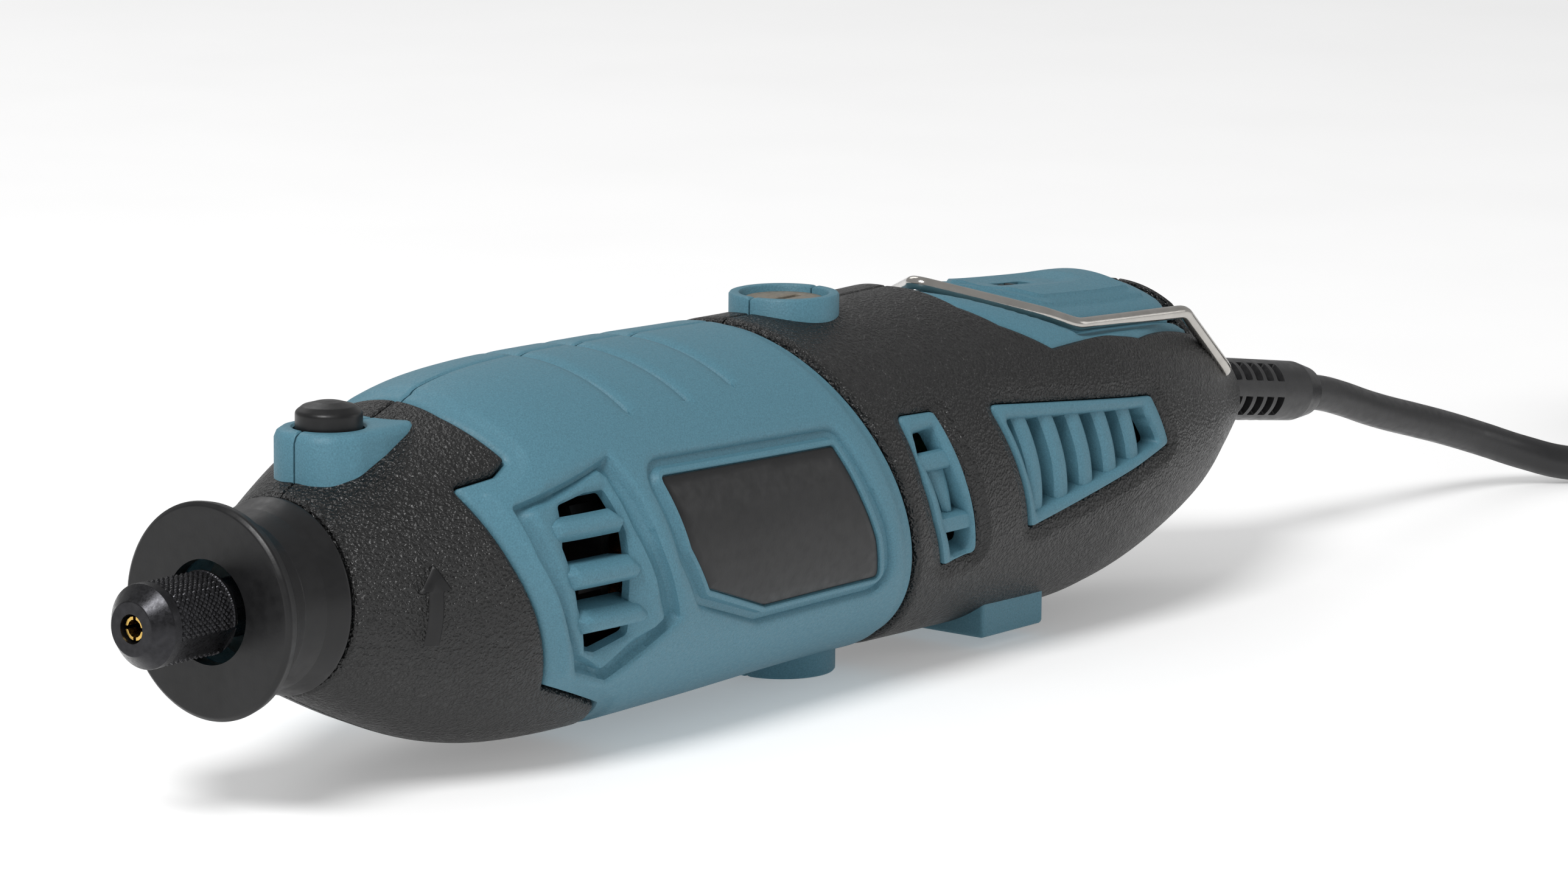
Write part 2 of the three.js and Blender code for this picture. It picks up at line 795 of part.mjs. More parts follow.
function housingScrew(index) {
  const [x, z] = SCREWS[index];
  const blank = turned(
    [
      [SCREW.tip, 0],
      [SCREW.tip + 1.5, SCREW.radius],
      [SCREW.seat + GAP, SCREW.radius],
      [SCREW.seat + GAP, SCREW.head],
      [SCREW.seat + 2.2, SCREW.head],
      [SCREW.seat + 2.2, 0],
    ],
    12,
  );
  const crossSlot = (a, b) => box(SCREW.seat + 1.4, SCREW.seat + 4, -a, a, -b, b);
  return alongY(cut(blank, crossSlot(1.6, 0.35), crossSlot(0.35, 1.6)), x, z);
}

// ---------------------------------------------------------------- cord, coil and plug
const CORD_Z = REST_Z + CORD_RADIUS + 0.2;
const COIL = { x: 396.5, y: -18.5, inner: 20.8, outer: 39.7, height: 23.1 };
const boot = new THREE.Vector3(BOOT_END + GAP, 0, 0)
  .applyAxisAngle(new THREE.Vector3(0, 1, 0), EXIT_SLOPE)
  .add(EXIT);
const CORD_LEAD = [
  [boot.x, 0, boot.z],
  [277, 0, -6.9],
  [286, 0, -9.8],
  [300, -0.4, -13.8],
  [317.5, -2.6, -19.2],
  [331, -9.7, -24],
  [342.5, -20, CORD_Z],
  [354.9, -30.6, CORD_Z],
];
const PLUG = { height: 13.6, width: 26, length: 34, neck: 6 };
const PLUG_MIDDLE_Z = REST_Z + COIL.height + GAP + PLUG.height / 2;
// The end of the cord comes up from the coil and turns towards the plug, which lies on the coil.
const CORD_TAIL = [
  [COIL.x - 25.1, COIL.y - 20.1, PLUG_MIDDLE_Z - 1.6],
  [COIL.x - 19.6, COIL.y - 22.4, PLUG_MIDDLE_Z - 0.4],
  [COIL.x - 13.5, COIL.y - 23.2, PLUG_MIDDLE_Z],
];
const PLUG_CLEARANCE = 0.6; // the end of the cord isn't quite square to the plug

// The wound turns as one ring with its edges cut back.
function cordCoil() {
  const edge = CORD_RADIUS;
  const profile = [
    [0, COIL.inner + edge],
    [0, COIL.outer - edge],
    [edge, COIL.outer],
    [COIL.height - edge, COIL.outer],
    [COIL.height, COIL.outer - edge],
    [COIL.height, COIL.inner + edge],
    [COIL.height - edge, COIL.inner],
    [edge, COIL.inner],
    [0, COIL.inner + edge],
  ];
  return alongZ(turned(profile, 32), COIL.x, COIL.y).translate(0, 0, REST_Z);
}

// The plug is built along +X, with its neck's end a gap away from the end of the cord.
const placePlug = (shape) =>
  shape.translate(PLUG.neck + PLUG_CLEARANCE, 0, 0).translate(...CORD_TAIL.at(-1));
function plugBody() {
  const half = PLUG.width / 2;
  const body = extruded(
    shapeOf([
      [0, -6],
      [8, -8.5],
      [20, -half],
      [PLUG.length, -half],
      [PLUG.length, half],
      [20, half],
      [8, 8.5],
      [0, 6],
    ]),
    PLUG.height,
  ).translate(0, 0, -PLUG.height / 2);
  const holes = [1, -1].map((side) => rod(2.2, PLUG.length - 6, PLUG.length + 1, 12).translate(0, side * 9.3, 0));
  return placePlug(cut(join(body, rod(4.4, -PLUG.neck, 2, 16)), ...holes));
}
const plugPin = (side) =>
  placePlug(
    turned(
      [[PLUG.length - 5.7, 0], [PLUG.length - 5.7, 1.9], [PLUG.length + 17.5, 2], [PLUG.length + 19, 1.1], [PLUG.length + 19, 0]],
      12,
    ).translate(0, side * 9.3, 0),
  );

// ---------------------------------------------------------------- assembly
const tool = new THREE.Group();
tool.name = "rotary_tool";

function part(name, shape, surface) {
  const mesh = new THREE.Mesh(shape, surface);
  mesh.name = name;
  tool.add(mesh);
}

const body = hardBody();
part("left_housing_shell", common(body, LEFT()), teal());
part("right_housing_shell", common(body, RIGHT()), teal());
const front = frontGrip();
part("left_front_grip", common(front, LEFT()), softBlack());
part("right_front_grip", common(front, RIGHT()), softBlack());
const rear = rearGrip();
part("left_rear_grip", common(rear, LEFT()), softBlack());
part("right_rear_grip", common(rear, RIGHT()), softBlack());
const label = labelPlate();
part("left_label_plate", common(label, LEFT()), glossBlack());
part("right_label_plate", common(label, RIGHT()), glossBlack());
part("tail_cover", tailCover(), teal());
SCREWS.forEach((_, i) => part(`housing_screw_${i + 1}`, housingScrew(i), steel()));

part("nose_cap", noseCap(), glossBlack());
part("collet_nut", colletNut(), blackOxide());
part("collet", collet(), brass());
part("spindle", spindle(), blackOxide());
part("spindle_front_bearing", bearing(22, 4.3), steel());
part("spindle_rear_bearing", bearing(43.5, 4.3), steel());
part("lock_button", lockButton(), glossBlack());
part("lock_spring", spring(3, 0.4, 11.9, 16, 4).translate(LOCK_X, 0, 0), steel());
part("drive_coupling", tube(6.3, SHAFT_BORE, 49.6, 56.4), softBlack());

part("armature_shaft", rod(SHAFT_RADIUS, 53.4, 152), steel());
part("motor_front_bearing", bearing(58.5, SHAFT_BORE), steel());
part("motor_rear_bearing", bearing(145, SHAFT_BORE), steel());
part("cooling_fan", coolingFan(), nylon());
part("armature_core", armatureCore(), lamination());
part("armature_windings", armatureWindings(), copper());
part("commutator", commutator(), copper());
part("stator_core", statorCore(), lamination());
part("left_field_coil", fieldCoil(-1), copper());
part("right_field_coil", fieldCoil(1), copper());

const brushPieces = {
  brush_holder: [brushHolder, brass],
  carbon_brush: [carbonBrush, carbon],
  brush_spring: [brushSpring, steel],
  brush_cap: [brushCap, phenolic],
};
for (const [name, [shape, surface]] of Object.entries(brushPieces)) {
  part(`upper_${name}`, shape(), surface());
  part(`lower_${name}`, upsideDown(shape()), surface());
}

part("speed_wheel", speedWheel(), glossBlack());
part("speed_potentiometer", speedPotentiometer(), glossBlack());
part("speed_circuit_board", circuitBoard(), boardGreen());
part("suppression_capacitor", capacitor(), phenolic());
part("triac_heat_sink", heatSink(), lamination());

part("hanger_bail", bailWire(BAIL.wire, 8, 40), steel());
part("cord_boot", cordBoot(), softBlack());
part("cord_inner_length", cordInside(), softBlack());
part("cord_clamp", cordClamp(), nylon());
part("cord_clamp_screw_left", clampScrew(-1), steel());
part("cord_clamp_screw_right", clampScrew(1), steel());

part("cord_lead", wire(CORD_LEAD, CORD_RADIUS, 8, 18), softBlack());
part("cord_coil", cordCoil(), softBlack());
part("cord_tail", wire(CORD_TAIL, CORD_RADIUS, 8, 8), softBlack());
part("plug_body", plugBody(), softBlack());
part("plug_pin_left", plugPin(1), steel());
part("plug_pin_right", plugPin(-1), steel());

// The origin is under the middle of the tool, at the height that it rests on.
tool.position.set(-TOOL_LENGTH / 2, 0, -REST_Z);
export default tool;
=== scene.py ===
"""Rotary hobby tool: surfaces, materials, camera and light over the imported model.

Shapes are worked out in millimetres from the front face of the collet nut (x) and from the
tool's axis (y to the right-hand half, z up), and go into the row's frame when a mesh is made.
Outlines on the housing are drawn as seen from the side, as [x, z].
"""

import json
import math

import bmesh
import bpy
import numpy as np
from mathutils import Matrix, Vector
from mathutils.geometry import delaunay_2d_cdt
from mathutils.kdtree import KDTree


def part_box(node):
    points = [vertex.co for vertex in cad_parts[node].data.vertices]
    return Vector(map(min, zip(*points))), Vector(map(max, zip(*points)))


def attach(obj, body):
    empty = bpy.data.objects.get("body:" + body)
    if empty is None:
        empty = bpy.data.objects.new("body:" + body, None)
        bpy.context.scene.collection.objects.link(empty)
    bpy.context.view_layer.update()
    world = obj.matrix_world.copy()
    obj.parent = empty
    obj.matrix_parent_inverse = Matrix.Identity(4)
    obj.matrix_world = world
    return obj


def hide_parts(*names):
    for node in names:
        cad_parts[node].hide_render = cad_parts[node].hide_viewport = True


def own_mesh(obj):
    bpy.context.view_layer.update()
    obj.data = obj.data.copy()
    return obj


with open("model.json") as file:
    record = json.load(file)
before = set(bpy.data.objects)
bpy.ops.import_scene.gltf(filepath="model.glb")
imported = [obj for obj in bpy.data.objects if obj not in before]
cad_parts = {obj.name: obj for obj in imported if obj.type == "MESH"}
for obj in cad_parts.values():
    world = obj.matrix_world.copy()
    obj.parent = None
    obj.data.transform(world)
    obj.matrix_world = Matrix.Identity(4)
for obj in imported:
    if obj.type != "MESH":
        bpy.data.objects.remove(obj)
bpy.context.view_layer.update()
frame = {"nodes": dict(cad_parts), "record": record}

# ---------------------------------------------------------------- sizes from the frame
MM = 0.001
GAP = 0.3  # clearance between neighbouring pieces


def low(node, axis):
    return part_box(node)[0][axis] / MM


def high(node, axis):
    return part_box(node)[1][axis] / MM


NOSE_X = low("collet_nut", 0)
AXIS_Z = (low("collet_nut", 2) + high("collet_nut", 2)) / 2
TOOL_LENGTH = high("cord_boot", 0) - NOSE_X
REST_Z = -AXIS_Z
BODY_FRONT = low("left_front_grip", 0) - NOSE_X - GAP
BODY_REAR = high("left_rear_grip", 0) - NOSE_X
BODY_RADIUS = 26
NUT_RADIUS = high("collet_nut", 1)
CAP_RADIUS = high("nose_cap", 1)
COLLAR_TOP = high("left_housing_shell", 2) - AXIS_Z
COLLAR_RADIUS = 7.9
COLLAR_FOOT = 20
BRUSH_CAP_RADIUS = 6
BRUSH_X = (low("upper_brush_cap", 0) + high("upper_brush_cap", 0)) / 2 - NOSE_X
LOCK_X = (low("lock_button", 0) + high("lock_button", 0)) / 2 - NOSE_X
LOCK_RADIUS = 4.5
WIRE_RADIUS = 1.0
CORD_RADIUS = 2.8
EXIT_SLOPE = math.radians(8.5)
EXIT = Vector((BODY_REAR, 0, -0.6))


def to_row(points):
    """Millimetres from the nut and the axis to metres in the row's frame."""
    return (np.asarray(points, float) + (NOSE_X, 0, AXIS_Z)) * MM


# ---------------------------------------------------------------- camera, floor and light
CAMERA_PLACE = Vector((-0.7562, -0.5951, 0.2116))
CAMERA_TURN = math.radians(-51.83)  # azimuth: 0 looks along +Y
CAMERA_RISE = math.radians(10.49)
CAMERA_ROLL = math.radians(0.557)
CAMERA_LENS = 157.1


def make_camera():
    camera = bpy.data.objects.new("camera", bpy.data.cameras.new("camera"))
    camera.data.lens = CAMERA_LENS
    camera.data.sensor_width = 36
    camera.data.clip_start = 0.05
    turn = Matrix.Rotation(CAMERA_TURN, 4, "Z")
    rise = Matrix.Rotation(math.pi / 2 - CAMERA_RISE, 4, "X")
    roll = Matrix.Rotation(CAMERA_ROLL, 4, "Z")
    camera.matrix_world = Matrix.Translation(CAMERA_PLACE) @ turn @ rise @ roll
    bpy.context.scene.collection.objects.link(camera)
    bpy.context.scene.camera = camera


LIGHTS_AIM = Vector((0, 0, 0.03))


def make_light(name, place, size, power):
    lamp = bpy.data.lights.new(name, "AREA")
    lamp.shape = "DISK"
    lamp.size = size
    lamp.energy = power
    light = bpy.data.objects.new(name, lamp)
    light.location = place
    towards = LIGHTS_AIM - Vector(place)
    light.rotation_euler = towards.to_track_quat("-Z", "Y").to_euler()
    bpy.context.scene.collection.objects.link(light)


FLOOR_HALF = 4


def make_studio():
    make_light("key", (-0.75, -0.2, 0.9), 0.45, 9.5)
    make_light("side", (1.0, -0.9, 0.35), 0.6, 0.9)
    make_light("rim", (0.3, 0.8, 0.8), 0.6, 1.5)
    world = bpy.data.worlds.new("studio")
    world.use_nodes = True
    world.node_tree.nodes["Background"].inputs["Color"].default_value = (1, 1, 1, 1)
    world.node_tree.nodes["Background"].inputs["Strength"].default_value = 0.42
    bpy.context.scene.world = world
    bpy.context.scene.view_settings.view_transform = "Standard"
    floor = bpy.data.meshes.new("floor")
    signs = [(-1, -1), (1, -1), (1, 1), (-1, 1)]
    floor.from_pydata([(x * FLOOR_HALF, y * FLOOR_HALF, 0) for x, y in signs], [], [(0, 1, 2, 3)])
    stage = bpy.data.objects.new("floor", floor)
    bpy.context.scene.collection.objects.link(stage)
    floor.materials.append(floor_material())


# ---------------------------------------------------------------- materials
class Surface:
    """A material under construction: its shader, and the textures that drive it."""

    def __init__(self, name, color, roughness, metallic=0.0):
        self.material = bpy.data.materials.new(name)
        self.material.use_nodes = True
        self.nodes = self.material.node_tree.nodes
        self.links = self.material.node_tree.links
        self.shader = self.nodes["Principled BSDF"]
        self.shader.inputs["Base Color"].default_value = (*color, 1)
        self.shader.inputs["Roughness"].default_value = roughness
        self.shader.inputs["Metallic"].default_value = metallic
        self.material.diffuse_color = (*color, 1)
        self.color = color
        self.place = self.nodes.new("ShaderNodeTexCoord").outputs["Object"]
        self.normal = None

    def stretched(self, factors):
        mapping = self.nodes.new("ShaderNodeMapping")
        mapping.inputs["Scale"].default_value = factors
        self.links.new(self.place, mapping.inputs["Vector"])
        return mapping.outputs["Vector"]

    def noise(self, size_mm, detail=3, place=None):
        """Cloudy noise with features of about that size, from 0 to 1."""
        node = self.nodes.new("ShaderNodeTexNoise")
        node.inputs["Scale"].default_value = 1 / (size_mm * MM)
        node.inputs["Detail"].default_value = detail
        self.links.new(place or self.place, node.inputs["Vector"])
        return node.outputs["Fac"]

    def cells(self, size_mm, warp=0.0):
        """Distance within a pattern of cells of about that size."""
        node = self.nodes.new("ShaderNodeTexVoronoi")
        node.inputs["Scale"].default_value = 1 / (size_mm * MM)
        place = self.place
        if warp:
            shift = self.nodes.new("ShaderNodeTexNoise")
            shift.inputs["Scale"].default_value = 1 / (2 * size_mm * MM)
            self.links.new(self.place, shift.inputs["Vector"])
            add = self.nodes.new("ShaderNodeVectorMath")
            add.operation = "MULTIPLY_ADD"
            add.inputs[1].default_value = [warp * size_mm * MM] * 3
            self.links.new(shift.outputs["Color"], add.inputs[0])
            self.links.new(self.place, add.inputs[2])
            place = add.outputs["Vector"]
        self.links.new(place, node.inputs["Vector"])
        return node.outputs["Distance"]

    def spread(self, value, low_in, high_in, low_out, high_out):
        node = self.nodes.new("ShaderNodeMapRange")
        for name, number in zip(
            ("From Min", "From Max", "To Min", "To Max"), (low_in, high_in, low_out, high_out)
        ):
            node.inputs[name].default_value = number
        self.links.new(value, node.inputs["Value"])
        return node.outputs["Result"]

    def tint(self, value, dark, light):
        """Colour from dark to light by a 0 to 1 value."""
        ramp = self.nodes.new("ShaderNodeValToRGB")
        ramp.color_ramp.elements[0].color = (*dark, 1)
        ramp.color_ramp.elements[1].color = (*light, 1)
        self.links.new(value, ramp.inputs["Fac"])
        self.links.new(ramp.outputs["Color"], self.shader.inputs["Base Color"])

    def rough(self, value, low_out, high_out):
        """Roughness that varies with a 0 to 1 value."""
        self.links.new(self.spread(value, 0.3, 0.7, low_out, high_out), self.shader.inputs["Roughness"])

    def bump(self, value, depth_mm, strength=1.0):
        node = self.nodes.new("ShaderNodeBump")
        node.inputs["Strength"].default_value = strength
        node.inputs["Distance"].default_value = depth_mm * MM
        self.links.new(value, node.inputs["Height"])
        if self.normal:
            self.links.new(self.normal, node.inputs["Normal"])
        self.normal = node.outputs["Normal"]
        self.links.new(self.normal, self.shader.inputs["Normal"])


def shade(color, factor):
    return tuple(min(1.0, channel * factor) for channel in color)


def floor_material():
    """White, with a faint glow of its own that takes the ground to white behind the object."""
    surface = Surface("pale_floor", (0.93, 0.93, 0.93), 0.7)
    surface.rough(surface.noise(60), 0.6, 0.8)
    surface.shader.inputs["Emission Color"].default_value = (1, 1, 1, 1)
    surface.shader.inputs["Emission Strength"].default_value = 0.25
    return surface.material


def teal_plastic():
    """Moulded plastic with a fine satin texture that catches small sparkles."""
    color = (0.074, 0.182, 0.236)
    surface = Surface("teal_plastic", color, 0.5)
    surface.shader.inputs["Specular IOR Level"].default_value = 0.3
    surface.tint(surface.noise(0.22, 2), shade(color, 0.72), shade(color, 1.45))
    surface.rough(surface.noise(0.5), 0.42, 0.6)
    surface.bump(surface.noise(0.3, 4), 0.06)
    surface.bump(surface.noise(12, 2), 0.05, 0.5)
    return surface.material


def soft_grip():
    """Rubbery layer moulded with a leather grain."""
    color = (0.0062, 0.0062, 0.0063)
    surface = Surface("soft_grip", color, 0.42)
    surface.shader.inputs["Specular IOR Level"].default_value = 0.45
    surface.tint(surface.noise(5), shade(color, 0.7), shade(color, 1.6))
    surface.rough(surface.noise(1.2), 0.31, 0.46)
    surface.bump(surface.cells(0.5, warp=2.0), 0.32)
    surface.bump(surface.noise(0.35, 2), 0.08)
    return surface.material


def gloss_black_plastic():
    color = (0.0065, 0.0065, 0.007)
    surface = Surface("gloss_black_plastic", color, 0.3)
    surface.shader.inputs["Specular IOR Level"].default_value = 0.35
    surface.tint(surface.noise(3), shade(color, 0.7), shade(color, 1.5))
    surface.rough(surface.noise(1.5, 6), 0.32, 0.46)
    surface.bump(surface.noise(0.4, 4), 0.01)
    return surface.material


def black_oxide_steel():
    color = (0.020, 0.020, 0.022)
    surface = Surface("black_oxide_steel", color, 0.32, 0.85)
    surface.tint(surface.noise(0.8, 5), shade(color, 0.6), shade(color, 2.2))
    surface.rough(surface.noise(0.4, 5), 0.22, 0.42)
    surface.bump(surface.noise(0.15), 0.01)
    return surface.material


def bright_steel():
    color = (0.5, 0.48, 0.45)
    surface = Surface("bright_steel", color, 0.18, 1.0)
    surface.tint(surface.noise(2.5, 5), shade(color, 0.75), shade(color, 1.15))
    surface.rough(surface.noise(0.6, 5), 0.1, 0.22)
    surface.bump(surface.noise(0.3, place=surface.stretched((0.1, 1, 1))), 0.01)
    return surface.material


def motor_steel():
    """Stacked sheets, seen as fine lines across the axis."""
    color = (0.20, 0.21, 0.22)
    surface = Surface("motor_steel", color, 0.45, 1.0)
    sheets = surface.noise(0.6, 1, surface.stretched((1, 0.01, 0.01)))
    surface.tint(sheets, shade(color, 0.5), shade(color, 1.4))
    surface.rough(surface.noise(2), 0.35, 0.6)
    surface.bump(sheets, 0.08)
    return surface.material


def copper_wire():
    color = (0.45, 0.16, 0.06)
    surface = Surface("copper_wire", color, 0.35, 0.9)
    strands = surface.noise(0.45, 1, surface.stretched((0.05, 1, 1)))
    surface.tint(strands, shade(color, 0.5), shade(color, 1.5))
    surface.rough(surface.noise(1), 0.25, 0.45)
    surface.bump(strands, 0.15)
    return surface.material


def brass():
    color = (0.72, 0.47, 0.13)
    surface = Surface("brass", color, 0.25, 1.0)
    surface.tint(surface.noise(1.2, 5), shade(color, 0.7), shade(color, 1.15))
    surface.rough(surface.noise(0.5, 5), 0.16, 0.34)
    surface.bump(surface.noise(0.2, place=surface.stretched((2, 0.1, 0.1))), 0.01)
    return surface.material


def carbon():
    color = (0.025, 0.025, 0.027)
    surface = Surface("carbon", color, 0.6, 0.2)
    surface.tint(surface.noise(0.3, 4), shade(color, 0.5), shade(color, 2))
    surface.rough(surface.noise(0.4), 0.5, 0.7)
    surface.bump(surface.noise(0.15), 0.03)
    return surface.material


def phenolic():
    color = (0.16, 0.14, 0.11)
    surface = Surface("phenolic", color, 0.45)
    surface.tint(surface.noise(0.7, 5), shade(color, 0.6), shade(color, 1.6))
    surface.rough(surface.noise(0.8), 0.36, 0.6)
    surface.bump(surface.noise(0.3, 4), 0.03)
    return surface.material


def nylon():
    color = (0.016, 0.016, 0.017)
    surface = Surface("nylon", color, 0.5)
    surface.tint(surface.noise(4), shade(color, 0.85), shade(color, 1.1))
    surface.rough(surface.noise(1), 0.42, 0.58)
    surface.bump(surface.noise(0.3), 0.02)
    return surface.material


def circuit_board():
    color = (0.03, 0.13, 0.05)
    surface = Surface("circuit_board", color, 0.35)
    surface.tint(surface.cells(3), shade(color, 0.6), shade(color, 1.7))
    surface.rough(surface.noise(1), 0.28, 0.45)
    surface.bump(surface.noise(0.5), 0.03)
    return surface.material


def cord_rubber():
    color = (0.012, 0.012, 0.013)
    surface = Surface("cord_rubber", color, 0.38)
    surface.tint(surface.noise(6), shade(color, 0.7), shade(color, 1.5))
    surface.rough(surface.noise(1.5, 5), 0.3, 0.46)
    surface.bump(surface.noise(0.25, 3), 0.02)
    return surface.material


MATERIALS = {
    make.__name__: make()
    for make in (
        teal_plastic,
        soft_grip,
        gloss_black_plastic,
        black_oxide_steel,
        bright_steel,
        motor_steel,
        copper_wire,
        brass,
        carbon,
        phenolic,
        nylon,
        circuit_board,
        cord_rubber,
    )
}


def paint_frame():
    """Every carried-over CAD node takes the material of its slot."""
    for subpart in frame["record"]["subparts"]:
        mesh = frame["nodes"][subpart["node"]].data
        mesh.materials.clear()
        mesh.materials.append(MATERIALS[subpart["material_slot"]])


# ---------------------------------------------------------------- making pieces
def joined(parts):
    """Several (points, faces) shapes as one."""
    points = []
    faces = []
    for part_points, part_faces in parts:
        start = len(points)
        points.extend(part_points)
        faces.extend([[start + i for i in face] for face in part_faces])
    return points, faces


def make_piece(name, shape, slot, body, replaces, sharp=38):
    """A mesh object of (points in mm, faces), riding on a body in place of CAD nodes."""
    points, faces = shape
    mesh = bpy.data.meshes.new(name)
    mesh.from_pydata(to_row(points), [], faces)
    work = bmesh.new()
    work.from_mesh(mesh)
    bmesh.ops.remove_doubles(work, verts=work.verts, dist=1e-7)
    bmesh.ops.recalc_face_normals(work, faces=work.faces)
    work.to_mesh(mesh)
    work.free()
    mesh.shade_smooth()
    mesh.set_sharp_from_angle(angle=math.radians(sharp))
    piece = bpy.data.objects.new(name, mesh)
    bpy.context.scene.collection.objects.link(piece)
    finish_piece(piece, slot, body, replaces)
    return piece


def finish_piece(piece, slot, body, replaces):
    piece.data.materials.append(MATERIALS[slot])
    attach(piece, body)
    if replaces:
        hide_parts(*replaces)


# ---------------------------------------------------------------- lines
def smooth_line(points, per_span=12):
    """A Catmull-Rom line through the points."""
    points = np.asarray(points, float)
    ends = np.vstack([points[:1], points, points[-1:]])
    t = np.linspace(0, 1, per_span, endpoint=False)[:, None]
    spans = []
    for a, b, c, d in zip(ends, ends[1:], ends[2:], ends[3:]):
        spans.append(
            b
            + (c - a) / 2 * t
            + (2 * a - 5 * b + 4 * c - d) / 2 * t**2
            + (3 * b - a - 3 * c + d) / 2 * t**3
        )
    return np.vstack([*spans, points[-1:]])


def dense(line, step, closed=True):
    """The line with points at most a step apart."""
    line = np.asarray(line, float)
    after = np.roll(line, -1, axis=0) if closed else line[1:]
    pieces = []
    for a, b in zip(line, after):
        count = max(1, math.ceil(np.linalg.norm(b - a) / step))
        pieces.append(a + (b - a) * (np.arange(count) / count)[:, None])
    if not closed:
        pieces.append(line[-1:])
    return np.vstack(pieces)


def rounded(corners, radius, closed=True):
    """The line with its corners turned into arcs."""
    corners = [np.asarray(c, float) for c in corners]
    line = []
    for i, corner in enumerate(corners):
        if not closed and i in (0, len(corners) - 1):
            line.append(corner)
            continue
        before = corners[i - 1] - corner
        after = corners[(i + 1) % len(corners)] - corner
        room = 0.45 * min(np.linalg.norm(before), np.linalg.norm(after))
        before, after = before / np.linalg.norm(before), after / np.linalg.norm(after)
        half = math.acos(np.clip(before @ after, -1, 1)) / 2
        back = min(room, radius / math.tan(half))
        start, end = corner + before * back, corner + after * back
        for t in np.linspace(0, 1, 7):
            line.append((1 - t) ** 2 * start + 2 * t * (1 - t) * corner + t**2 * end)
    return np.array(line)


def anticlockwise(loop):
    x, y = loop[:, 0], loop[:, 1]
    area = np.sum(x * np.roll(y, -1) - y * np.roll(x, -1))
    return loop if area > 0 else loop[::-1]


def moved_out(loop, distance):
    """The closed loop moved outwards."""
    loop = anticlockwise(loop)
    along = np.roll(loop, -1, axis=0) - np.roll(loop, 1, axis=0)
    along /= np.linalg.norm(along, axis=1)[:, None] + 1e-9
    return loop + distance * np.column_stack([along[:, 1], -along[:, 0]])


def is_inside(loop, points):
    a, b = loop, np.roll(loop, -1, axis=0)
    x, y = points[:, :1], points[:, 1:]
    crosses = (a[:, 1] > y) != (b[:, 1] > y)
    rise = np.where(b[:, 1] == a[:, 1], 1e-12, b[:, 1] - a[:, 1])
    at = a[:, 0] + (y - a[:, 1]) * (b[:, 0] - a[:, 0]) / rise
    return (crosses & (x < at)).sum(axis=1) % 2 == 1


def distance_to(loop, points):
    nearest = np.full(len(points), np.inf)
    for start, end in zip(loop, np.roll(loop, -1, axis=0)):
        along = end - start
        t = np.clip((points - start) @ along / (along @ along + 1e-12), 0, 1)
        offset = points - start - t[:, None] * along
        nearest = np.minimum(nearest, np.einsum("ij,ij->i", offset, offset))
    return np.sqrt(nearest)


def signed_distance(loop, points):
    """Distance to a closed loop, negative inside it."""
    away = distance_to(loop, points)
    return np.where(is_inside(loop, points), -away, away)


# ---------------------------------------------------------------- plates
# A plate is a closed shape over a flat outline, which a `place` function lays on the housing.
# A moulding is (loop, profile): the profile gives the height at each distance from the loop,
# negative inside it.
def moulded_height(mouldings, points):
    height = np.zeros(len(points))
    for loop, profile in mouldings:
        distances, heights = zip(*profile)
        height += np.interp(signed_distance(loop, points), distances, heights)
    return height


def fill_points(loop, lines, spacing):
    """A triangular grid inside the loop, clear of the lines' own points."""
    tree = KDTree(sum(len(line) for line in lines))
    for index, point in enumerate(np.vstack(lines)):
        tree.insert((*point, 0), index)
    tree.balance()
    lowest, highest = loop.min(axis=0), loop.max(axis=0)
    rows = np.arange(lowest[1], highest[1], spacing * 0.87)
    columns = np.arange(lowest[0], highest[0], spacing)
    grid = np.array([(x + (i % 2) * spacing / 2, y) for i, y in enumerate(rows) for x in columns])
    grid = grid[is_inside(loop, grid)]
    clear = [tree.find((*p, 0))[2] > 0.55 * spacing for p in grid]
    return grid[clear]


def plate(place, outline, within=(), holes=(), mouldings=(), depth=2.0, spacing=1.3):
    lines = [outline, *within, *holes]
    for loop, profile in mouldings:
        lines += [moved_out(loop, distance) for distance, _ in profile if distance]
        lines.append(loop)
    filling = fill_points(outline, lines, spacing)
    edges = []
    start = 0
    for line in lines:
        count = len(line)
        edges += [(start + i, start + (i + 1) % count) for i in range(count)]
        start += count
    points = np.vstack([*lines, filling])
    made = delaunay_2d_cdt([Vector(p) for p in points], edges, [], 0, 1e-4, False)
    flat = np.array([tuple(p) for p in made[0]])
    triangles = np.array([tuple(face) for face in made[2]])
    middles = flat[triangles].mean(axis=1)
    kept = is_inside(outline, middles)
    for loop in within:
        kept &= is_inside(loop, middles)
    for loop in holes:
        kept &= ~is_inside(loop, middles)
    triangles = triangles[kept]
    used, triangles = np.unique(triangles, return_inverse=True)
    triangles = triangles.reshape(-1, 3)
    flat = flat[used]
    return thick(place, flat, triangles, moulded_height(mouldings, flat), depth)


def thick(place, flat, triangles, height, depth):
    """The plate's top, its underside and the walls between them."""
    top = np.column_stack(place(flat[:, 0], flat[:, 1], height))
    under = np.column_stack(place(flat[:, 0], flat[:, 1], np.full(len(flat), -float(depth))))
    count = len(flat)
    faces = triangles.tolist() + (triangles[:, ::-1] + count).tolist()
    directed = {(int(a), int(b)) for t in triangles for a, b in zip(t, np.roll(t, -1))}
    faces += [[b, a, a + count, b + count] for a, b in directed if (b, a) not in directed]
    return np.vstack([top, under]).tolist(), faces


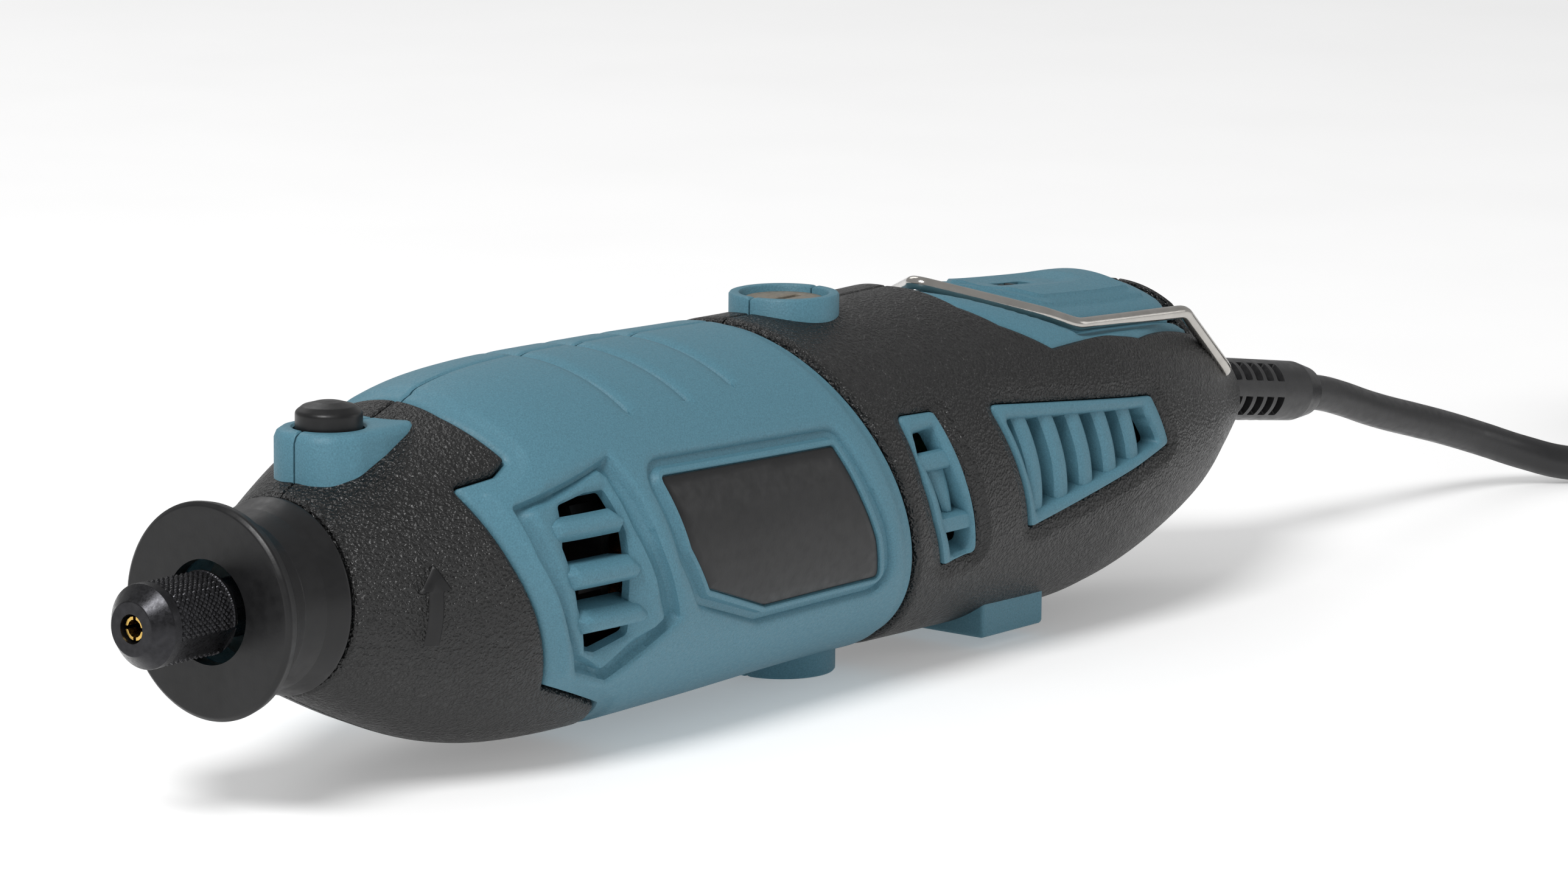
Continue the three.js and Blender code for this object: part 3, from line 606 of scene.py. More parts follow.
# ---------------------------------------------------------------- the housing's skin
STATIONS = [
    (BODY_FRONT, 13.2), (41, 19.2), (55, 24.2), (70, BODY_RADIUS), (96, BODY_RADIUS - 0.1),
    (131, 25.2), (178, 25.7), (192, 24.9), (205, 22.3), (219, 17.8), (230, 12.4), (BODY_REAR, 7),
]
skin_line = smooth_line(STATIONS, 24)
DROOP_FROM = 205
DROOP = 1.5
GIRTH = BODY_RADIUS  # a turn of one radian is this long on the unrolled skin
SEAM = GIRTH * (math.pi / 2) - GAP / 2  # the halves meet here, at the top and at the bottom


def skin_radius(x):
    return np.interp(x, skin_line[:, 0], skin_line[:, 1])


def droop(x):
    return -DROOP * (np.maximum(0, x - DROOP_FROM) / (BODY_REAR - DROOP_FROM)) ** 2


def unrolled(outline):
    """A side-view [x, z] line on the unrolled skin: along the axis, and round from the middle."""
    outline = np.asarray(outline, float)
    ratio = (outline[:, 1] - droop(outline[:, 0])) / skin_radius(outline[:, 0])
    inner = np.clip(ratio, -1, 1)
    return np.column_stack([outline[:, 0], GIRTH * (np.arcsin(inner) + ratio - inner)])


def unrolled_plan(outline):
    """The same for an [x, y] line seen from above, on the upper side."""
    outline = np.asarray(outline, float)
    ratio = np.clip(outline[:, 1] / skin_radius(outline[:, 0]), -1, 1)
    return np.column_stack([outline[:, 0], GIRTH * np.arccos(ratio)])


def on_skin(corners, radius=0.8, step=0.9):
    """A closed side-view outline, with rounded corners, on the unrolled skin."""
    return anticlockwise(dense(unrolled(dense(rounded(corners, radius), step)), step))


def skin(side, lift=0.0):
    """Lays a plate on the skin of one half: side is -1 for the left, 1 for the right."""

    def place(x, round_way, height):
        angle = round_way / GIRTH
        radius = skin_radius(x) + lift + height
        return x, side * radius * np.cos(angle), radius * np.sin(angle) + droop(x)

    return place


def belt(x0, x1):
    """One half's whole strip of skin from x0 to x1, up to the seam."""
    return anticlockwise(dense([(x0, -SEAM), (x1, -SEAM), (x1, SEAM), (x0, SEAM)], 0.9))


SEAM_EDGE = [(-0.35, 0), (0, -0.25)]

# ---------------------------------------------------------------- outlines on the housing
REAR_BORDER_X = 131.6
REAR_BORDER_LEAN = -0.45


def rear_border(z):
    return [REAR_BORDER_X + REAR_BORDER_LEAN * z, z]


BEYOND = 45  # outlines that cross the seam run on to here
MIDDLE = [
    [51.8, BEYOND],
    [51.8, 22],
    [54.3, 16.8],
    [51.5, 15.2],
    [45.3, 14.1],
    [49.8, 4],
    [53.5, -3.6],
    [58.6, -15],
    [74, -20.6],
    [78, -24],
    [78, -BEYOND],
    rear_border(-26),
    rear_border(26),
    [120, BEYOND],
]
FRONT_OPENING = [
    [59.7, 10.9], [64.9, 11.9], [68.6, 11.9], [70.8, 5.8], [71.2, -4.2], [72.7, -10.1],
    [66.9, -11.9], [64.8, -11.3], [61.3, -3.9], [58.8, 5],
]
VENT_FRAME = [
    [53.6, 10.2], [68.3, 14.3], [69.8, 13.2], [72.2, 6], [76.9, -5.2], [78.6, -8], [68.9, -14.4],
    [64, -11.9], [60.4, -6.9], [57.7, -0.2], [55.8, 5.6],
]
VENT_EDGE = [
    [51.3, 11.2], [70.5, 15.6], [73.6, 9.4], [76.2, 2.4], [81.6, -8.3], [70.3, -15.8],
    [63.3, -13.6], [59.4, -7.5], [56.2, -1.1], [53.4, 4.3],
]
LABEL = [
    [78.3, 11.9], [117, 10.7], [121.5, 2.2], [125.1, -3.9], [127.9, -10.3], [101, -10.1],
    [86.7, -5.2], [82, 1.5],
]
ARROW = [
    [38.6, 4.9], [40.7, 1.3], [39.5, 1.2], [39.6, -6.1], [37.6, -6.0], [37.6, 1.2], [36.3, 1.2],
]
SMALL_WINDOW = [
    [133.3, 12.6], [141.6, 12.3], [145.9, 1.6], [149, -5.2], [150.9, -10.2], [143.6, -11.4],
    [138.7, -3.7], [135.9, 2.4],
]
SMALL_OPENING = [
    [135.7, 9.9], [140.8, 10.1], [142.1, 5.9], [144.8, 0.5], [148, -5.7], [149, -9.6],
    [145.3, -10], [141.3, -4.1], [138.3, 2.1], [135.8, 6.7],
]
LARGE_WINDOW = [
    [153.8, 11.6], [193.2, 7.7], [197.7, -0.6], [162.6, -8.5], [158.5, 0.8],
]
LARGE_OPENING = [
    [156.9, 9.1], [190.3, 6.2], [194.3, 0.2], [163.6, -6], [160.3, 0.8],
]
# The cover on the tail, seen from above: [x, y] of its right-hand side.
COVER_HALF = [
    [160.5, 4], [162, 10.5], [166, 15], [173.4, 19.3], [196, 18.7], [215.8, 13.7],
]
PAD_HALF = [
    [168, 1.6], [181.5, 13.2], [184.5, 14.2], [209.8, 14.2], [212, 11.5],
]
SCREWS = [
    [53.8, 15], [53.8, -15], [153, 17], [153, -17], [211, -9.5],
]
SCREW_WELL = 2.9
SCREW_WELL_WALL = 3.6
SCREW_WELL_FLOOR = 9.9


def both_sides(half):
    return [*half, *[[x, -y] for x, y in reversed(half)]]


# ---------------------------------------------------------------- teal housing halves
# Heights in these profiles are measured from the skin.
BORDER_EDGE = [(-3.4, 0), (-2.7, -0.08), (-2.1, -0.42), (-1.1, -0.5), (-0.4, -0.65), (0, -1.2)]
VENT_WALL = [(-0.7, -1.8), (-0.2, -1.3), (-0.05, -0.4), (0.3, -0.1), (1, 0)]
VENT_CREST = [(-0.9, 1.35), (-0.3, 1.2), (0.1, 0.8), (0.7, 0.15), (1.2, 0)]
OPENING_SLOPE = [(0, -1.5), (0.4, -1.1), (4.2, 0)]
LABEL_SURROUND = [
    (-0.15, -0.9), (-0.05, -0.25), (0.1, -0.12), (0.7, -0.14), (1.0, -0.7), (1.4, -1.1),
    (2.4, -0.95), (2.7, -0.3), (3.1, -0.08), (3.8, 0),
]
CREASES = [
    ([75.2, 26], [79.2, 19.5]),
    ([86.5, 26], [92, 19.5]),
    ([98.5, 26], [103, 20]),
]


def middle_skin(side):
    middle = on_skin(MIDDLE)
    opening = on_skin(FRONT_OPENING, 0.8)
    label = on_skin(LABEL, 1)
    seam = belt(40, 160)
    return plate(
        skin(side),
        middle,
        within=[seam],
        holes=[opening, *screw_holes(side)],
        mouldings=[
            (middle, BORDER_EDGE),
            (seam, SEAM_EDGE),
            (on_skin(VENT_EDGE), VENT_WALL),
            (on_skin(VENT_FRAME, 1), VENT_CREST),
            (opening, OPENING_SLOPE),
            (label, LABEL_SURROUND),
            *creases(),
        ],
        depth=3.2,
    )


CREASE_EDGE = [(-0.4, -0.8), (0, -0.6), (0.4, -0.25), (1.8, 0)]


def creases():
    """Shallow steps that run down from the seam, each a long narrow leaf."""
    leaves = []
    for start, end in CREASES:
        (x0, _), (x1, round_way) = unrolled([start, end])
        leaf = [(x0 - 0.2, SEAM + 4), (x0 + 0.5, SEAM + 4), (x1, round_way)]
        leaves.append((anticlockwise(dense(leaf, 0.8)), CREASE_EDGE))
    return leaves


# The left and right ends, and the top and bottom, of the bars across the front opening.
FRONT_BARS = [(56, 70.9, 9.3, 5.8), (58.2, 73.2, 2.4, -1.4), (60.8, 75.6, -4.7, -8.4)]


def front_bars(side):
    """Three thick bars with cut-back ends, which stand out of the sloping frame."""
    bars = []
    for left, right, top, bottom in FRONT_BARS:
        corners = [
            [left, top - 1],
            [left + 2, top],
            [right - 2.6, top],
            [right, top - 1.8],
            [right - 1.4, bottom],
            [left + 1.4, bottom],
        ]
        bar = on_skin(corners, 0.4, 0.6)
        edges = [(-1.7, 0), (-1.2, -0.1), (-0.9, -0.35), (0, -1.5)]
        bars.append(plate(skin(side, -0.35), bar, mouldings=[(bar, edges)], depth=5, spacing=1.1))
    return bars


WINDOW_EDGE = [(-0.9, 0), (-0.35, -0.1), (-0.1, -0.5), (0, -0.9)]
WINDOW_RIM = [(0, -0.8), (0.4, -0.25), (1.1, 0)]


def window_insert(side, window, opening):
    """A teal frame that comes up through the soft layer, with an opening in it."""
    outline = moved_out(on_skin(window, 1.2), -0.1)
    hole = on_skin(opening, 0.8)
    return plate(
        skin(side, -0.5),
        outline,
        holes=[hole],
        mouldings=[(outline, WINDOW_EDGE), (hole, WINDOW_RIM)],
        depth=3.4,
        spacing=1.5,
    )


BAR_EDGE = [(-0.9, 0), (-0.4, -0.12), (0, -0.6)]


def bar_across(side, corners, opening, lift, depth):
    outline = on_skin(corners, 0.4)
    room = moved_out(on_skin(opening, 0.8), 0.6)
    return plate(
        skin(side, lift),
        outline,
        within=[room],
        mouldings=[(outline, BAR_EDGE)],
        depth=depth,
        spacing=1.6,
    )


def small_bars(side):
    """Two bars, a slanting brace between them and the webs that they stand on."""
    bars = []
    for top in (6.9, -3.4):
        corners = [[132, top], [152, top], [152, top - 3], [132, top - 3]]
        bars.append(bar_across(side, corners, SMALL_OPENING, -1.1, 4))
    brace = [[139, 4.4], [142.8, 4.4], [145.2, -3.8], [143.4, -3.8]]
    bars.append(bar_across(side, brace, SMALL_OPENING, -2.2, 4))
    return bars


def large_slats(side):
    """Leaning slats, evenly spread along the opening."""
    slats = []
    for i in range(5):
        x = 158.6 + 6.1 * i
        corners = [[x - 0.2, 12], [x + 3, 12], [x + 5.8, 1], [x + 8.2, -10], [x + 5, -10], [x + 2.8, 1]]
        slats.append(bar_across(side, corners, LARGE_OPENING, -1.3, 5))
    return slats


def half_ring(side, outer, inner):
    """Half a ring seen from above, on one side of the seam."""
    angles = np.linspace(0, math.pi, 40)
    arc = np.column_stack([np.cos(angles), np.sin(angles)])
    rim = np.vstack([outer * arc, (inner * arc)[::-1]])
    rim[:, 1] = np.maximum(rim[:, 1], GAP / 2) * side
    return anticlockwise(dense(rim, 0.8))


def upright(x0, level, up=1):
    """Lays a plate level, facing up or down."""

    def place(x, y, height):
        return x + x0, y, up * (level + height)

    return place


ROUND_EDGE = [(-0.7, 0), (-0.35, -0.1), (-0.1, -0.35), (0, -0.7)]


def collar(side, up):
    """Half of the raised ring round a brush cap."""
    ring = half_ring(side, COLLAR_RADIUS, BRUSH_CAP_RADIUS + GAP)
    return plate(
        upright(BRUSH_X, COLLAR_TOP, up),
        ring,
        mouldings=[(ring, [(-0.5, 0), (-0.2, -0.08), (0, -0.35)])],
        depth=COLLAR_TOP - COLLAR_FOOT,
        spacing=0.8,
    )


BEZEL_HALF = [
    [31, 2.5], [32.4, 5.2], [36, 7], [41, 7.2], [48.5, 6.6], [51.3, 2.2],
]
BEZEL_TOP = 21.3
BEZEL_FOOT = 10


def bezel(side):
    """Half of the raised surround of the lock button."""
    outline = anticlockwise(dense(rounded(both_sides(BEZEL_HALF), 5), 0.7))
    angles = np.linspace(0, 2 * math.pi, 60, endpoint=False)
    well_radius = LOCK_RADIUS + GAP
    well = np.column_stack([LOCK_X + well_radius * np.cos(angles), well_radius * np.sin(angles)])
    near, far = side * GAP / 2, side * 12
    half = anticlockwise(dense([(20, near), (60, near), (60, far), (20, far)], 0.8))
    return plate(
        upright(0, BEZEL_TOP),
        outline,
        within=[half],
        holes=[well],
        mouldings=[
            (outline, [(-1.3, 0), (-0.8, -0.12), (-0.35, -0.45), (0, -1.3)]),
            (well, [(0, -0.3), (0.3, 0)]),
            (half, [(-0.2, 0), (0, -0.2)]),
        ],
        depth=BEZEL_TOP - BEZEL_FOOT,
        spacing=0.9,
    )


FOOT = {"x0": 163, "x1": 178, "half": 15, "bottom": -25.8}


def foot(side):
    y0, y1 = sorted((side * GAP / 2, side * FOOT["half"]))
    outline = [(FOOT["x0"], y0), (FOOT["x1"], y0), (FOOT["x1"], y1), (FOOT["x0"], y1)]
    outline = anticlockwise(dense(rounded(outline, 0.7), 0.8))
    return plate(
        upright(0, -FOOT["bottom"], -1),
        outline,
        mouldings=[(outline, ROUND_EDGE)],
        depth=9,
        spacing=1.2,
    )


NECK = {"x0": 17.3, "x1": 32, "radius": 10}


def neck(side):
    """Half of the tube that the nose cap goes on."""
    radius = NECK["radius"]

    def place(x, round_way, height):
        angle = round_way / radius
        return x, side * (radius + height) * np.cos(angle), (radius + height) * np.sin(angle)

    quarter = radius * math.pi / 2 - GAP / 2
    x0, x1 = NECK["x0"], NECK["x1"]
    outline = dense([(x0, -quarter), (x1, -quarter), (x1, quarter), (x0, quarter)], 0.8)
    return plate(place, anticlockwise(outline), mouldings=[(outline, [(-0.4, 0), (0, -0.3)])], depth=2.6)


def screw_holes(side):
    if side < 0:
        return []
    angles = np.linspace(0, 2 * math.pi, 24, endpoint=False)
    circle = SCREW_WELL * np.column_stack([np.cos(angles), np.sin(angles)])
    return [unrolled(circle + place) for place in SCREWS]


def screw_wells(side):
    """The walls of the wells that the screw heads sit in, on the right-hand half."""
    if side < 0:
        return []
    wells = []
    for x, z in SCREWS:
        top = math.sqrt(skin_radius(x) ** 2 - z**2) - 2.6
        inside = [(top, SCREW_WELL), (SCREW_WELL_FLOOR, SCREW_WELL)]
        outside = [(SCREW_WELL_FLOOR, SCREW_WELL_WALL), (top, SCREW_WELL_WALL)]
        wells.append(turned_along_y(turned([inside[1], *outside, *inside], 32), x, z))
    return wells


def housing_half(side):
    return joined(
        [
            middle_skin(side),
            *front_bars(side),
            window_insert(side, SMALL_WINDOW, SMALL_OPENING),
            *small_bars(side),
            window_insert(side, LARGE_WINDOW, LARGE_OPENING),
            *large_slats(side),
            collar(side, 1),
            collar(side, -1),
            bezel(side),
            foot(side),
            neck(side),
            *screw_wells(side),
        ]
    )


# ---------------------------------------------------------------- soft grips and labels
GRIP_EDGE = [(GAP, -0.9), (0.5, -0.45), (1.0, -0.1), (1.7, 0)]


def front_grip(side):
    middle = on_skin(MIDDLE)
    whole = belt(BODY_FRONT + GAP, 78.6)
    return plate(
        skin(side),
        whole,
        holes=[moved_out(middle, GAP), *screw_holes(side)],
        mouldings=[
            (whole, SEAM_EDGE),
            (middle, GRIP_EDGE),
        ],
        depth=1.6,
    )


def arrow_mark(side):
    """The smooth raised arrow on the front grip."""
    arrow = on_skin(ARROW, 0.15, 0.5)
    return plate(skin(side, 0.4), arrow, mouldings=[(arrow, [(-0.35, 0), (0, -0.3)])], depth=0.9)


WINDOW_LIP = [(0, -1.0), (0.5, -0.6), (1.4, -0.35), (2.2, 0)]


def rear_grip(side):
    middle = on_skin(MIDDLE)
    windows = [on_skin(SMALL_WINDOW, 1.2), on_skin(LARGE_WINDOW, 1.2)]
    cover = cover_edge()
    whole = belt(113, BODY_REAR)
    return plate(
        skin(side),
        whole,
        holes=[moved_out(middle, GAP), *windows, moved_out(cover, GAP), *screw_holes(side)],
        mouldings=[
            (whole, SEAM_EDGE),
            (middle, GRIP_EDGE),
            (cover, [(GAP, -0.5), (0.8, -0.1), (1.3, 0)]),
            (tail_lip(), [(-3.5, 1.1), (0, 0)]),
            *[(window, WINDOW_LIP) for window in windows],
        ],
        depth=1.6,
    )


TAIL_LIP = [[208, 11], [220, 11], [220, -9], [208, -9]]


def tail_lip():
    """The soft layer rises here to meet the end of the cover's pad."""
    return anticlockwise(dense(unrolled_plan(TAIL_LIP), 0.8))


def cover_edge():
    """The cover's outline on the unrolled skin."""
    half = dense([[158, -4], *COVER_HALF, [215.8, -4]], 0.8)
    return anticlockwise(dense(unrolled_plan(half), 0.8))


def label_plate(side):
    outline = moved_out(on_skin(LABEL, 1), -0.3)
    return plate(
        skin(side, -0.4),
        outline,
        mouldings=[(outline, [(-0.3, 0), (0, -0.12)])],
        depth=0.4,
        spacing=1.5,
    )


# ---------------------------------------------------------------- tail cover
# Heights along the tool, as (x, z), of the cover's lower ledge and of the pad on it.
LEDGE_LINE = [(159, 25), (165.5, 23.6), (177.5, 19.2), (183, 16.8), (194, 16.2), (210, 15), (218, 12)]
PAD_LINE = [(164, 24.9), (175, 24.3), (184.6, 23.4), (198, 22.5), (207, 22.1), (214, 21)]
PAD_CROWN = 25  # radius of the pad's top across the tool
PAD_STEPS = [(-5.5, 0), (-5.2, -0.4), (-3.8, -0.45), (-3.5, -0.85), (-1.0, -0.95), (-0.4, -1.3), (0, -2.6)]
THUMB_DISH = [(-3, -0.9), (-0.4, -0.12), (0, 0)]
WHEEL_X = (low("speed_wheel", 0) + high("speed_wheel", 0)) / 2 - NOSE_X
WHEEL_Z = (low("speed_wheel", 2) + high("speed_wheel", 2)) / 2 - AXIS_Z
WHEEL_RADIUS = 9.45  # just under the pad, so that the rim fills the window
WHEEL_HALF = 1.5  # half its thickness
WHEEL_STUB = 1.4  # radius of the stub that turns the potentiometer
WHEEL_WINDOW = (4.2, 1.3)  # half its length and width
PAD_DEPTH = 3.4
SKIRT_TOP = -3  # the pad's wall starts here, inside the pad's thickness


def height_along(line, x):
    xs, zs = zip(*line)
    return np.interp(x, xs, zs)


def under_skin(x, y, lift):
    """Height of the skin, moved outwards by the lift, at a place seen from above."""
    radius = skin_radius(x) + lift
    return np.sqrt(np.maximum(radius**2 - y**2, 0)) + droop(x)


def ledge_place(x, y, height):
    z = np.minimum(height_along(smooth_line(LEDGE_LINE, 6), x), under_skin(x, y, -0.2))
    return x, y, z + height


def pad_place(x, y, height):
    """The pad is crowned across the tool."""
    crown = y**2 / (2 * PAD_CROWN)
    z = np.minimum(height_along(smooth_line(PAD_LINE, 6), x) - crown, under_skin(x, y, 1.8))
    return x, y, z + height


def pad_skirt_place(x, y, height):
    """The pad's wall goes down from here to the ledge."""
    return pad_place(x, y, height + SKIRT_TOP)


def centred_box(x, half_x, half_y, radius):
    corners = [[x - half_x, -half_y], [x + half_x, -half_y], [x + half_x, half_y], [x - half_x, half_y]]
    return anticlockwise(dense(rounded(corners, radius), 0.6))


def tail_cover():
    edge = anticlockwise(dense(rounded(both_sides(COVER_HALF), 1.2), 0.8))
    pad = anticlockwise(dense(rounded(both_sides(PAD_HALF), 1.8), 0.8))
    window = centred_box(WHEEL_X, *WHEEL_WINDOW, 0.4)
    dish = centred_box(WHEEL_X, 13, 5.5, 5)
    return joined(
        [
            plate(
                ledge_place,
                edge,
                holes=[moved_out(pad, -1.5)],
                mouldings=[(edge, [(-1.0, 0), (-0.4, -0.15), (0, -0.6)])],
                depth=2.2,
                spacing=1.1,
            ),
            plate(
                pad_place,
                pad,
                holes=[window],
                mouldings=[
                    (pad, PAD_STEPS),
                    (window, [(0, -0.15), (0.4, 0)]),
                    (dish, THUMB_DISH),
                ],
                depth=PAD_DEPTH,
                spacing=1.1,
            ),
            plate(
                pad_skirt_place,
                moved_out(pad, -0.05),
                holes=[moved_out(pad, -1.5)],
                depth=3.5,
                spacing=1.1,
            ),
        ]
    )


# ---------------------------------------------------------------- turned pieces
def turned(profile, segments=96, relief=None):
    """A closed [x, radius] profile turned about X. The relief adds to a point's radius."""
    profile = np.asarray(profile, float)
    rings = len(profile)
    angles = 2 * math.pi * np.arange(segments) / segments
    x = np.repeat(profile[:, 0], segments)
    radius = np.repeat(profile[:, 1], segments)
    angle = np.tile(angles, rings)
    if relief:
        radius = radius + relief(x, radius, angle)
    points = np.column_stack([x, radius * np.cos(angle), radius * np.sin(angle)])
    faces = []
    for ring in range(rings - 1):
        for i in range(segments):
            j = (i + 1) % segments
            a, b = ring * segments, (ring + 1) * segments
            faces.append([a + i, a + j, b + j, b + i])
    return points.tolist(), faces


def turned_along_y(shape, x0, z0):
    """The same shape about an axis along Y."""
    points, faces = shape
    return [[x0 - y, x, z + z0] for x, y, z in points], faces


def turned_along_z(shape, x0):
    """The same shape about an upright axis."""
    points, faces = shape
    return [[x0 - z, y, x] for x, y, z in points], faces


def profile_line(corners, radius, step):
    """A turned profile that starts and ends on the axis, or closes on itself."""
    return dense(rounded(corners, radius, closed=False), step, closed=False)


def nose_cap():
    corners = [
        [14, 7],
        [14, CAP_RADIUS - 0.6],
        [14.5, CAP_RADIUS],
        [15.9, CAP_RADIUS - 0.3],
        [17.6, 12.3],
        [20.5, 11.5],
        [24, 12.1],
        [BODY_FRONT - GAP, 13.4],
        [BODY_FRONT - GAP, NECK["radius"] + GAP],
        [17, NECK["radius"] + GAP],
        [16.4, 7],
        [14, 7],
    ]
    return turned(profile_line(corners, 0.5, 0.7), 128)


NUT_LENGTH = 14
NUT_FLAT = {"half": 5.1, "turn": math.radians(215)}  # two wrench flats
KNURL = {"x0": 3.6, "x1": 13.4, "count": 40, "pitch": 0.9, "depth": 0.28}


def knurl(x, radius, angle):
    """Diamonds cut by two crossing sets of slanted grooves."""
    along = x / KNURL["pitch"]
    around = KNURL["count"] * angle / (2 * math.pi)
    grooves = [np.abs((across % 1) - 0.5) * 2 for across in (around + along, around - along)]
    cut = KNURL["depth"] * (np.maximum(*grooves) ** 2)
    outside = (radius > NUT_RADIUS - 0.5) & (x > KNURL["x0"]) & (x < KNURL["x1"])
    knurled = radius - np.where(outside, cut, 0)
    across = np.abs(np.cos(angle - NUT_FLAT["turn"]))
    flat = NUT_FLAT["half"] / np.maximum(across, 0.3)
    on_outside = (radius > 4.5) & (x > KNURL["x0"]) & (x < NUT_LENGTH - 0.01)
    return np.where(on_outside, np.minimum(knurled, flat), radius) - radius


def collet_nut():
    corners = [
        [0, 1.95],
        [0, 3.6],
        [2.2, NUT_RADIUS],
        [NUT_LENGTH, NUT_RADIUS],
        [NUT_LENGTH, 4.3],
        [5.6, 4.3],
        [1.2, 1.95],
        [0, 1.95],
    ]
    return turned(profile_line(corners, 0.25, 0.14), 280, knurl)


def lock_button():
    corners = [
        [8.2, 0],
        [8.2, 1.5],
        [16.3, 1.5],
        [16.3, 5.4],
        [17.6, 5.4],
        [17.6, LOCK_RADIUS],
        [23.3, LOCK_RADIUS],
        [24.1, LOCK_RADIUS - 1],
        [24.6, LOCK_RADIUS - 2.8],
        [24.7, 0],
    ]
    return turned_along_z(turned(profile_line(corners, 0.8, 0.3)), LOCK_X)


WHEEL_RIDGES = 30


def wheel_ridges(x, radius, angle):
    in_groove = (radius > WHEEL_RADIUS - 0.5) & (np.cos(WHEEL_RIDGES * angle) < -0.3)
    return np.where(in_groove, -0.35, 0)


def speed_wheel():
    """A ridged disc, and the stub that turns the potentiometer."""
    corners = [
        [-WHEEL_HALF, 0],
        [-WHEEL_HALF, WHEEL_RADIUS],
        [WHEEL_HALF, WHEEL_RADIUS],
        [WHEEL_HALF, WHEEL_STUB],
        [WHEEL_HALF + 4, WHEEL_STUB],
        [WHEEL_HALF + 4, 0],
    ]
    return turned_along_y(turned(profile_line(corners, 0.3, 0.4), 180, wheel_ridges), WHEEL_X, WHEEL_Z)


LOCK_SPRING = {"radius": 3, "wire": 0.4, "z0": 11.9, "z1": 16}
BRUSH_SPRING = {"radius": 2, "wire": 0.35, "z0": 16.2, "z1": 20.7}
SPRING_TURNS = 4


def coil_spring(x0, spring, up=1):
    """A round wire coiled about an upright axis."""
    per_turn = 24
    sides = 8
    steps = SPRING_TURNS * per_turn
    wire = spring["wire"]
    points = []
    for i in range(steps + 1):
        angle = 2 * math.pi * i / per_turn
        middle = spring["z0"] + wire + (spring["z1"] - spring["z0"] - 2 * wire) * i / steps
        for j in range(sides):
            lean = 2 * math.pi * j / sides
            reach = spring["radius"] + wire * math.cos(lean)
            z = middle + wire * math.sin(lean)
            points.append([x0 + reach * math.cos(angle), reach * math.sin(angle), up * z])
    faces = [list(range(sides)), list(range(steps * sides, (steps + 1) * sides))]
    for i in range(steps):
        for j in range(sides):
            a, b = i * sides + j, i * sides + (j + 1) % sides
            faces.append([a, b, b + sides, a + sides])
    return points, faces


def squash_spring(piece):
    """Gives the spring a mesh of its own."""
    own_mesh(piece)


CAP_TOP = 26.6


def brush_cap(up):
    """A disc with a screwdriver slot."""
    angles = np.linspace(0, 2 * math.pi, 72, endpoint=False)
    rim = BRUSH_CAP_RADIUS * np.column_stack([np.cos(angles), np.sin(angles)])
    slot = anticlockwise(dense(rounded([[-3.6, -0.7], [3.6, -0.7], [3.6, 0.7], [-3.6, 0.7]], 0.4), 0.4))
    return plate(
        upright(BRUSH_X, CAP_TOP, up),
        rim,
        mouldings=[(rim, [(-0.4, 0), (0, -0.3)]), (slot, [(-0.12, -1.2), (0, -0.1), (0.15, 0)])],
        depth=CAP_TOP - 21.2,
        spacing=0.9,
    )


# ---------------------------------------------------------------- boot, bail, cord and plug
BOOT_RADIUS = 5
BOOT_FLANGE = {"x0": -11, "x1": -8.5, "radius": 6.3}  # held in a groove inside the tail
BOOT_TIP = CORD_RADIUS + 1.1
BOOT_END = (TOOL_LENGTH - EXIT.x - BOOT_TIP * math.sin(EXIT_SLOPE)) / math.cos(EXIT_SLOPE)


def on_exit(shape):
    """Moves a shape made along X onto the line on which the cord leaves the tail."""
    points, faces = shape
    move = Matrix.Translation(EXIT) @ Matrix.Rotation(EXIT_SLOPE, 4, "Y")
    return [list(move @ Vector(point)) for point in points], faces


BOOT_SLOTS = {"first": 2.2, "spacing": 3.0, "count": 5, "width": 1.6, "depth": 1.4, "round": 5}


def boot_slots(x, radius, angle):
    """Short slots in rings round the boot, with plain bands between them, one of which faces left."""
    ring = (x - BOOT_SLOTS["first"]) / BOOT_SLOTS["spacing"]
    number = np.floor(ring)
    in_ring = (number >= 0) & (number < BOOT_SLOTS["count"])
    in_ring &= (ring - number) * BOOT_SLOTS["spacing"] < BOOT_SLOTS["width"]
    turn = angle / (2 * math.pi) * BOOT_SLOTS["round"] + 0.39
    in_slot = (turn % 1) < 0.56
    return np.where(in_ring & in_slot & (radius > BOOT_RADIUS - 1), -BOOT_SLOTS["depth"], 0)


def cord_boot():
    corners = [
        [BOOT_FLANGE["x0"], CORD_RADIUS + GAP],
        [BOOT_FLANGE["x0"], BOOT_FLANGE["radius"]],
        [BOOT_FLANGE["x1"], BOOT_FLANGE["radius"]],
        [BOOT_FLANGE["x1"], BOOT_RADIUS],
        [BOOT_END - 4, BOOT_RADIUS - 0.3],
        [BOOT_END, BOOT_TIP],
        [BOOT_END, CORD_RADIUS + GAP],
        [BOOT_FLANGE["x0"], CORD_RADIUS + GAP],
    ]
    return on_exit(turned(profile_line(corners, 0.5, 0.25), 144, boot_slots))


# The bail's pivot, and the bends of its right-hand half from there to its tip.
BAIL_X, BAIL_Y, BAIL_Z = 227, 13.4, 5.2
BAIL_CORNERS = [
    [BAIL_X, BAIL_Y - 5, BAIL_Z], [BAIL_X, BAIL_Y + 0.1, BAIL_Z], [210.3, 16.7, 17],
    [183.2, 16.6, 18.4], [178.3, 13.9, 20.4], [166, 0.8, 24.9],
]


